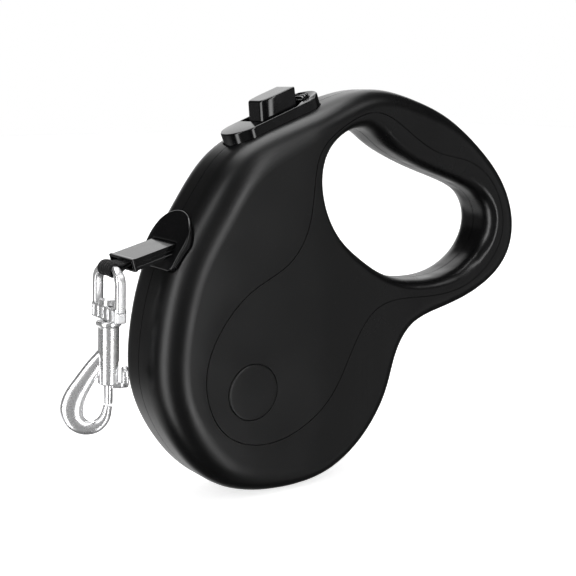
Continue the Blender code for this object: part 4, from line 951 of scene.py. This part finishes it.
def badge(side_name, face, radius, thick):
    """A bare round badge, slightly crowned, with a soft edge."""
    edge = BADGE_EDGE
    profile = [(0.0, -thick), (radius, -thick)]
    profile += arc(radius - edge, -edge, edge, 0, 90, 5, edge - BADGE_CROWN)
    profile += [((radius - edge) * (1 - k / 8), -BADGE_CROWN * (1 - k / 8) ** 2) for k in range(1, 9)]
    made = lathe(side_name + "_badge", profile, face, 96, SOFT)
    piece(made, "housing", "badge_" + side_name)


def bezel():
    """A glossy plate curved like the rim, with a rounded edge and the mouth's slot."""
    curved = form("curved", BEZEL_PROUD)
    bpy.context.view_layer.update()
    surface = BVHTree.FromObject(curved, bpy.context.evaluated_depsgraph_get())
    outer = from_ahead(evenly(bezel_outline(), 144))
    slot = rounded(SLEEVE_WIDTH / 2 + GAP, SLEEVE_HIGH / 2 + GAP, SLOT_CORNER)
    slot = from_ahead(evenly(slot, 144))

    def seated(loop, drop, curve=BEZEL_CURVE):
        """The loop laid on the housing's form, less curved across by the given share, and sunk."""
        points = []
        for a, b in loop:
            hit, _, _, _ = surface.ray_cast(BEZEL.point(curve * a, b, CLEAR), -BEZEL.normal)
            hit = hit or BEZEL.point(curve * a, b, 0.0)
            points.append(hit + BEZEL.a * (1 - curve) * a - BEZEL.normal * drop)
        return points

    rings = [seated(grown(outer, -BEZEL_UNDERCUT), BEZEL_PROUD + BEZEL_SUNK, 1.0)]
    rings += [seated(grown(outer, -inset), drop) for inset, drop in quarter(BEZEL_EDGE, 5)]
    first = grown(outer, -BEZEL_EDGE)
    lip = grown(slot, WIDE_EDGE[0][0])
    for share in np.arange(1, 12) / 12:
        rings.append(seated(first * (1 - share) + lip * share, 0.0))
    rings += [seated(grown(slot, out), drop) for out, drop in WIDE_EDGE]
    rings.append(seated(slot, BEZEL_PROUD + BEZEL_SUNK))
    bpy.data.objects.remove(curved)
    made = loft("mouth_plate", rings, GLOSS, closed=True, sharp=50)
    piece(made, "housing", "mouth_bezel")


# ---- Tray, button and lock ----


def tray():
    """The oval tray: a solid toe, a thin rim round the well, and soft edges that catch the light."""
    outer = from_ahead(evenly(stadium(TRAY_LONG, TRAY_HALF), 120), WELL_NARROWS / 2)
    inner = from_ahead(evenly(well_outline(), 120), WELL_NARROWS / 2)
    rings = [TRAY.ring(outer, -TRAY_SUNK)]
    for inset, drop in quarter(TRAY_EDGE, 5):
        ring = []
        for a, b in grown(outer, -inset):
            ring.append(TRAY.point(a, b, TRAY_RIM - drop + RIDGE * float(ease(a, RIDGE_FROM))))
        rings.append(ring)
    lip = ((2 * TRAY_LIP, TRAY_RIM), (TRAY_LIP, TRAY_RIM), (0.0, TRAY_RIM - TRAY_LIP))
    for out, level in (*lip, (0.0, -TRAY_SUNK + TRAY_FLOOR)):
        rings.append(TRAY.ring(grown(inner, out), level))
    made = loft("tray", rings, GLOSS, sharp=40)
    low = -2 * TRAY_SUNK
    cut(made, rod("hole", STEM_RADIUS + GAP, TRAY.moved(STEM_AT, 0), low, 0.0), GLOSS, 40)
    leg_front = LOCK_FRONT + LOCK_LEG[0] - LOCK_TRAVEL - GAP
    leg_rear = LOCK_FRONT + LOCK_LEG[1] + GAP
    leg_way = rectangle(leg_front, leg_rear, -LOCK_LEG_HALF, LOCK_LEG_HALF)
    cut(made, prism("slot", leg_way, TRAY, low, 0.0), GLOSS, 40)
    piece(made, "housing", "button_tray")


def button_outline(share):
    """The button's edge at a share of its height.

    Each front corner is a narrow flat between tight turns, then a slow curve.
    """
    turned = 0.0
    spot = Vector((0.0, 0.0))
    corner = [spot.copy()]
    steps = 8
    for angle, long in BUTTON_CORNER:
        for _ in range(steps):
            turned += radians(angle) / steps
            spot += Vector((sin(turned), cos(turned))) * long * MM / steps
            corner.append(spot.copy())
    front = BUTTON_FRONT + BUTTON_RAKE * share
    side = [(front + a, BUTTON_HALF - spot.y + b) for a, b in corner]
    end = BUTTON_REAR + BUTTON_REAR_RAKE * share
    rear = [p for p in rounded(end, BUTTON_HALF, BUTTON_EDGE) if p[0] > 0.0]
    return [(a, -b) for a, b in side] + rear + side[::-1]


def button():
    """The thumb button: a raked front with broken corners, and a flat top with soft edges."""
    base = -TRAY_SUNK + TRAY_FLOOR + BUTTON_PRESS + 2 * GAP
    high = BUTTON_TOP - base
    rings = [TRAY.ring(evenly(button_outline(0.0), 240), base)]
    for inset, drop in quarter(BUTTON_EDGE, 7):
        last = grown(evenly(button_outline((high - drop) / high), 240), -inset)
        rings.append(TRAY.ring(last, BUTTON_TOP - drop))
    middle = np.mean(last, axis=0)
    for share in (0.85, 0.6, 0.3, 0.08):
        rings.append(TRAY.ring(middle + (last - middle) * share, BUTTON_TOP))
    made = loft("thumb_button", rings, GLOSS, sharp=30)
    piece(made, "button", "brake_button")
    stem = rod("button_stem", STEM_RADIUS, TRAY.moved(STEM_AT, 0), -STEM_LONG, base + GAP, 32, GLOSS)
    piece(stem, "button", "brake_button")


def lock_arc(start):
    """A line across the slider that starts at both its sides and bows to the rear."""
    half = sqrt(LOCK_HALF**2 - max(start - LOCK_REAR, 0.0) ** 2) * RIB_REACH
    swing = asin(half / RIB_BOW)
    turns = [swing * (1 - n / 7) for n in range(15)]
    return [(start + RIB_BOW * (cos(t) - cos(swing)), RIB_BOW * sin(t)) for t in turns]


def lock():
    """The lock slider: a round-ended pad with bowed ribs that rise to the rear."""
    pad = [(LOCK_FRONT, LOCK_HALF), (LOCK_FRONT, -LOCK_HALF)] + arc(LOCK_REAR, 0.0, LOCK_HALF, -90, 90, 24)
    parts = [prism("pad", pad, TRAY, -TRAY_SUNK + TRAY_FLOOR + GAP, RIB_FOOT)]
    for k in range(RIB_COUNT):
        start = LOCK_FRONT + RIB_FROM + k * RIB_APART
        loop = np.array(lock_arc(start) + lock_arc(start + RIB_WIDE)[::-1])
        centre = np.mean(loop, axis=0)
        top = RIB_TOP + k * RIB_RISE
        stations = ((1.0, RIB_FOOT - GAP), (1.0, top - RIB_EDGE), (0.94, top))
        rings = [TRAY.ring(centre + (loop - centre) * share, level) for share, level in stations]
        parts.append(loft("rib", rings))
    work = bmesh.new()
    for part in parts:
        work.from_mesh(part.data)
        bpy.data.objects.remove(part)
    made = object_from(work, "lock_thumb", GLOSS, 30)
    piece(made, "lock", "lock_slider")


# ---- Sleeve, loop and tape ----


def sleeve():
    """The stop sleeve: soft edges, a lip at the front, and two grooves along each side."""
    half = SLEEVE_WIDTH / 2
    high = SLEEVE_HIGH / 2
    side = [(half, -high)] + [(half - deep, b) for deep, b in SLEEVE_GROOVES] + [(half, high)]
    outline = side + [(-a, b) for a, b in side[::-1]]

    def section(inset, level, grooved=False):
        loop = grown(outline, -inset)
        if not grooved:
            loop = np.array([(np.sign(a) * (half - inset), b) for a, b in loop])
        return EXIT_PLACE.ring(loop, level)

    rings = [section(SLEEVE_SOFT, level, True) for level in (-SLEEVE_IN, SLEEVE_OUT - SLEEVE_LIP)]
    lip = arc(SLEEVE_OUT - SLEEVE_LIP / 2, SLEEVE_NOTCH, SLEEVE_LIP / 2, 180, 0, 8, -SLEEVE_NOTCH)
    rings += [section(inset, level) for level, inset in lip]
    rings.append(section(SLEEVE_WALL - SLEEVE_FLARE, SLEEVE_OUT))
    rings.append(section(SLEEVE_WALL, SLEEVE_OUT - SLEEVE_SOFT))
    rings.append(section(SLEEVE_WALL, -SLEEVE_IN))
    made = loft("stop_sleeve", rings, GLOSS, closed=True, sharp=30)
    soften = made.modifiers.new("soften", "BEVEL")
    soften.width = SLEEVE_SOFT
    soften.segments = 3
    soften.limit_method = "ANGLE"
    soften.angle_limit = radians(60)
    soften.harden_normals = True
    piece(made, "tape_end", "end_sleeve")


def ribbed_strip(name, stations, width, ribs, deep):
    """A woven strip with fine ribs that run its length.

    Its stations are (point, direction up, thickness, how far its edges droop).
    """
    across = 6 * ribs + 1
    rings = []
    for point, up, thick, droop in stations:
        top = []
        under = []
        for n in range(across):
            share = n / (across - 1)
            edge = min(1.0, 8 * min(share, 1 - share) + STRIP_EDGE)
            half = thick / 2 * edge - deep * (0.5 - 0.5 * cos(2 * pi * ribs * share)) * edge
            middle = point + Vector((0, (share - 0.5) * width, 0)) - EXIT_UP * droop * (2 * share - 1) ** 2
            top.append(middle + up * half)
            under.append(middle - up * half)
        rings.append(top + under[::-1])
    return loft(name, rings, WEBBING, sharp=70)


def tape_loop():
    """The doubled tape that leaves the sleeve and rolls round the eye."""
    radius = WIRE + LOOP_CLEAR + LOOP_THICK / 2
    swing = degrees(pi - asin(LOOP_LEG / radius) - LOOP_MEETS)
    legs = [(a, LOOP_LEG) for a in LOOP_LEG_AT]
    roll = arc(LOOP_AHEAD, 0.0, radius, swing, -swing, 16)
    flat = smooth_path(legs + roll + [(a, -b) for a, b in legs[::-1]], 3)
    path = [MOUTH + EXIT * a + EXIT_UP * b for a, b in flat]
    stations = []
    for k, point in enumerate(path):
        way = way_at(path, k)
        near = float(ease(flat[k][0], LOOP_THICKENS))
        thick = TAPE_THICK + (LOOP_THICK - TAPE_THICK) * near
        stations.append((point, Vector((-way.z, 0.0, way.x)), thick, LOOP_DROOP * near))
    made = ribbed_strip("webbing_loop", stations, LOOP_WIDTH, *LOOP_RIBS)
    piece(made, "tape_end", "tape_loop")


def pulled_tape():
    """The flat tape from inside the mouth to the sleeve."""
    count = 60
    path = [MOUTH + EXIT * (TAPE_FROM + (TAPE_TO - TAPE_FROM) * k / count) for k in range(count + 1)]
    stations = [(point, EXIT_UP, TAPE_THICK, 0.0) for point in path]
    made = ribbed_strip("drawn_tape", stations, TAPE_WIDTH, *TAPE_RIBS)
    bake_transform(made)


# ---- Bolt snap ----


def eye():
    """The swivel eye: a wire arch over its fluted block, cast as one."""
    leg = [(EYE_HALF, -EYE_BELOW - WIRE), (EYE_HALF, -EYE_BELOW * 0.7)]
    leg += arc(EYE_HALF - EYE_CORNER, -EYE_CORNER, EYE_CORNER, 0, 90, 12)
    path = [(-b, high) for b, high in leg] + leg[::-1]
    points = [EYE.point(0.0, b, high) for b, high in path]
    across = [(WIRE, WIRE + (LEG_DEEP - WIRE) * float(ease(abs(b), LEG_FROM))) for b, _ in path]
    made = tube("eye", points, across, EYE.a, 0.6)
    outline = rounded(BLOCK_DEEP / 2, BLOCK_HALF, BLOCK_CORNER)
    low = -BLOCK_LOW
    top = low + BLOCK_HIGH
    stations = [(inset, low + drop) for inset, drop in SOFT_EDGE]
    stations += [(inset, top - drop) for inset, drop in SOFT_EDGE[::-1]]
    rings = [EYE.ring(grown(outline, -inset), level) for inset, level in stations]
    combine(made, loft("block", rings), "UNION")
    for k in range(-2, 3):
        spot = EYE.moved(-BLOCK_DEEP / 2, k * FLUTE_APART)
        cut(made, rod("flute", FLUTE_RADIUS, spot, low + FLUTE_RADIUS, top - FLUTE_RADIUS, 16))
    cut(made, rod("bore", STUD_RADIUS + GAP, EYE, -2 * BLOCK_LOW, -WIRE - GAP))
    cast(made, EYE_VOXEL, 4)
    piece(made, "eye", "swivel_eye")


def stud():
    """The rivet that holds the hook to the eye, with a flat head."""
    seat = -EYE_BELOW + GAP
    top = seat + STUD_HEAD_THICK
    low = -COLLAR_AT - COLLAR_HIGH
    profile = [(0.0, top)] + [(STUD_HEAD - inset, top - drop) for inset, drop in SOFT_EDGE]
    profile += [(STUD_HEAD, seat), (STUD_RADIUS, seat), (STUD_RADIUS, low), (0.0, low)]
    piece(lathe("swivel_rivet", profile, HOOK, 48, CHROME), "hook", "swivel_stud")


def hook():
    """Collar, barrel and hooked arm, cast as one, with the bolt's bore and its slot."""
    top = -COLLAR_AT
    low = -BARREL_LOW
    neck = top - COLLAR_HIGH
    bevel = HOOK_BEVEL
    profile = [(0.0, top), (COLLAR_RADIUS - bevel, top), (COLLAR_RADIUS, top - bevel)]
    profile += [(COLLAR_RADIUS, neck + bevel), (COLLAR_RADIUS - bevel, neck)]
    profile += [(BARREL_RADIUS, neck - NECK_SLOPE), (BARREL_RADIUS, low + bevel)]
    profile += [(BARREL_RADIUS - bevel, low), (0.0, low)]
    made = lathe("hook", profile, HOOK, 64)
    tip = low - BOLT_SHOWS
    route = smooth_path([(a, tip + high, wide) for a, high, wide in HOOK_ARM], 8)
    points = [HOOK.point(a, 0.0, high) for a, high, _ in route]
    across = [(wide, min(wide, ARM_HALF)) for _, _, wide in route]
    combine(made, tube("arm", points, across, HOOK.b), "UNION")
    cut(made, rod("bore", BOLT_RADIUS + GAP, HOOK, low - BOLT_SHOWS / 2, low + BORE_DEEP))
    cut(made, rod("socket", STUD_RADIUS + GAP, HOOK, neck - GAP, 0.0))
    half = KNOB_STEM / 2 + GAP
    slot_top = low + KNOB_DROP + KNOB_STEM + BOLT_TRAVEL + GAP
    slot = rectangle(0.0, 2 * BARREL_RADIUS, -half, half)
    cut(made, prism("slot", slot, HOOK, low - BOLT_SHOWS / 4, slot_top))
    cast(made, HOOK_VOXEL, 5)
    piece(made, "hook", "hook_body")


def bolt():
    """The bolt that closes the hook."""
    low = -BARREL_LOW - BOLT_SHOWS + 2 * GAP
    top = -BARREL_LOW + BOLT_GUIDED
    tip = [(BOLT_RADIUS - inset, low + rise) for inset, rise in WIDE_EDGE]
    profile = [(0.0, low)] + tip + [(BOLT_RADIUS, top), (0.0, top)]
    piece(lathe("bolt", profile, HOOK, 48, CHROME), "bolt", "bolt_plunger")


def knob():
    """The bolt's round thumb knob on its flat stem, cast as one."""
    low = -BARREL_LOW + KNOB_DROP
    place = Place(HOOK.point(0.0, 0.0, low + KNOB_RADIUS), HOOK.b, HOOK.normal)
    high = KNOB_OUT + KNOB_THICK
    edge = KNOB_EDGE
    profile = [(0.0, KNOB_OUT)] + arc(KNOB_RADIUS - edge, KNOB_OUT + edge, edge, -90, -22.5, 3)
    profile += [(KNOB_RADIUS, (KNOB_OUT + high) / 2)]
    profile += arc(KNOB_RADIUS - edge, high - edge, edge, 22.5, 90, 3)
    profile += [(KNOB_RADIUS * 0.4, high), (0.0, high)]
    made = lathe("knob", profile, place, 64)
    half = KNOB_STEM / 2
    outline = rectangle(BOLT_RADIUS - GAP, KNOB_OUT + 2 * GAP, -half, half)
    combine(made, prism("stem", outline, HOOK, low, low + KNOB_STEM), "UNION")
    cast(made, HOOK_VOXEL, 3)
    piece(made, "bolt", "thumb_knob")


def springs():
    """The return springs of the button and the bolt, copied from the model's coils."""
    for node, mover, body, slot in (
        ("button_spring", "brake_press", "housing", "steel"),
        ("bolt_spring", "bolt_slide", "hook", "chrome"),
    ):
        made = twin_of(frame["nodes"][node], node + "_coil")
        dress(made, SPRING, 30)
        piece(made, body, node)
        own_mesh(made)


def carried_over():
    """Materials for the CAD nodes that stay."""
    slots = {part["node"]: part["material_slot"] for part in frame["record"]["subparts"]}
    for name, made in frame["nodes"].items():
        finish = SPRING if name.endswith("_spring") else FINISHES[slots[name]]
        for slot in made.material_slots:
            slot.material = finish


# ---- Stage, light and camera ----


def stage():
    """A pale floor; mirrored rays pass through it to the surroundings, and it keeps the object's shadow."""
    corners = rectangle(-FLOOR_HALF, FLOOR_HALF, -FLOOR_HALF, FLOOR_HALF)
    floor = solid("floor", [(x, y, CAD_BOX[0].z) for x, y in corners], [(0, 1, 2, 3)])
    shader = Shader("floor_white", (0.8, 0.8, 0.8), 0.9)
    ray = shader.node("LightPath").outputs
    glow = shader.maths("MULTIPLY", ray["Is Camera Ray"], FLOOR_GLOW)
    glow = shader.node("Emission", Color=(1.0, 1.0, 1.0, 1.0), Strength=glow).outputs[0]
    lit = shader.joined("AddShader", shader.principled.outputs[0], glow)
    clear = shader.node("BsdfTransparent").outputs[0]
    mixed = shader.joined("MixShader", ray["Is Glossy Ray"], lit, clear)
    shader.feed(shader.tree.nodes["Material Output"].inputs["Surface"], mixed)
    floor.data.materials.append(shader.material)


class Sky(Nodes):
    """The studio's brightness by direction, put together from soft-edged patches."""

    def __init__(self):
        self.world = bpy.data.worlds.new("studio")
        self.world.use_nodes = True
        super().__init__(self.world.node_tree)
        self.tree.nodes.clear()
        way = self.vector("NORMALIZE", self.node("TexCoord").outputs["Generated"])
        self.height = self.node("SeparateXYZ", Vector=way).outputs["Z"]
        self.level = self.vector("NORMALIZE", self.vector("MULTIPLY", way, (1.0, 1.0, 0.0)))
        self.total = ROOM_LIGHT

    def vector(self, operation, *values):
        made = self.joined("VectorMath", *values).node
        made.operation = operation
        return made.outputs["Value" if operation == "DOT_PRODUCT" else "Vector"]

    def step(self, source, low, high, out_low=0.0, out_high=1.0):
        result = self.ramp(source, low, high, out_low, out_high)
        result.node.interpolation_type = "SMOOTHSTEP"
        return result

    def patch(self, centre, half, soft, low, high, strength):
        """Adds light within so many degrees of a compass direction (x, y) and between two heights of Z."""
        turned = self.vector("DOT_PRODUCT", self.level, (*Vector(centre).normalized(), 0.0))
        seen = self.step(turned, cos(radians(half + soft)), cos(radians(max(half - soft, 0.0))))
        seen = self.maths("MULTIPLY", seen, self.step(self.height, low - SKY_SOFT, low + SKY_SOFT))
        below = self.step(self.height, high - SKY_SOFT, high + SKY_SOFT, 1.0, 0.0)
        seen = self.maths("MULTIPLY", seen, below)
        self.total = self.maths("ADD", self.total, self.maths("MULTIPLY", seen, strength))

    def finish(self):
        """The camera sees plain white; everything else sees the patches."""
        camera_ray = self.node("LightPath").outputs["Is Camera Ray"]
        felt = self.node("Background", Strength=self.total).outputs[0]
        white = self.node("Background", Color=(1.0, 1.0, 1.0, 1.0)).outputs[0]
        self.node("OutputWorld", Surface=self.joined("MixShader", camera_ray, felt, white))
        bpy.context.scene.world = self.world


def surroundings():
    sky = Sky()
    for patch in SKY_PATCHES:
        sky.patch(*patch)
    sky.finish()


def aimed(name, data, aim, way, away):
    """A lamp or camera that looks at a point, from so far away in a direction."""
    made = bpy.data.objects.new(name, data)
    bpy.context.collection.objects.link(made)
    way = Vector(way).normalized()
    made.location = aim + way * away
    made.rotation_euler = (-way).to_track_quat("-Z", "Y").to_euler()
    return made


def lights():
    """One soft box over the object."""
    light = bpy.data.lights.new("overhead", "AREA")
    light.shape = "RECTANGLE"
    light.size, light.size_y = LAMP_SIZE
    light.energy = LAMP_POWER
    aimed("overhead", light, (CAD_BOX[0] + CAD_BOX[1]) / 2, LAMP_WAY, LAMP_AWAY)


def camera():
    """The view: left and a little above, from just under half a metre."""
    level = cos(CAMERA_LIFT)
    back = (sin(CAMERA_TURN) * level, -cos(CAMERA_TURN) * level, sin(CAMERA_LIFT))
    lens = bpy.data.cameras.new("camera")
    lens.lens = CAMERA_LENS
    lens.clip_start = CAMERA_NEAR
    bpy.context.scene.camera = aimed("camera", lens, CAMERA_AIM, back, CAMERA_AWAY)


for build in (
    carried_over, shells, seam_rib, panels, bezel, tray, button, lock, sleeve, tape_loop, pulled_tape, eye,
    stud, hook, bolt, knob, springs, stage, surroundings, lights, camera,
):  # fmt: skip
    build()
bpy.context.scene.view_settings.view_transform = "Standard"
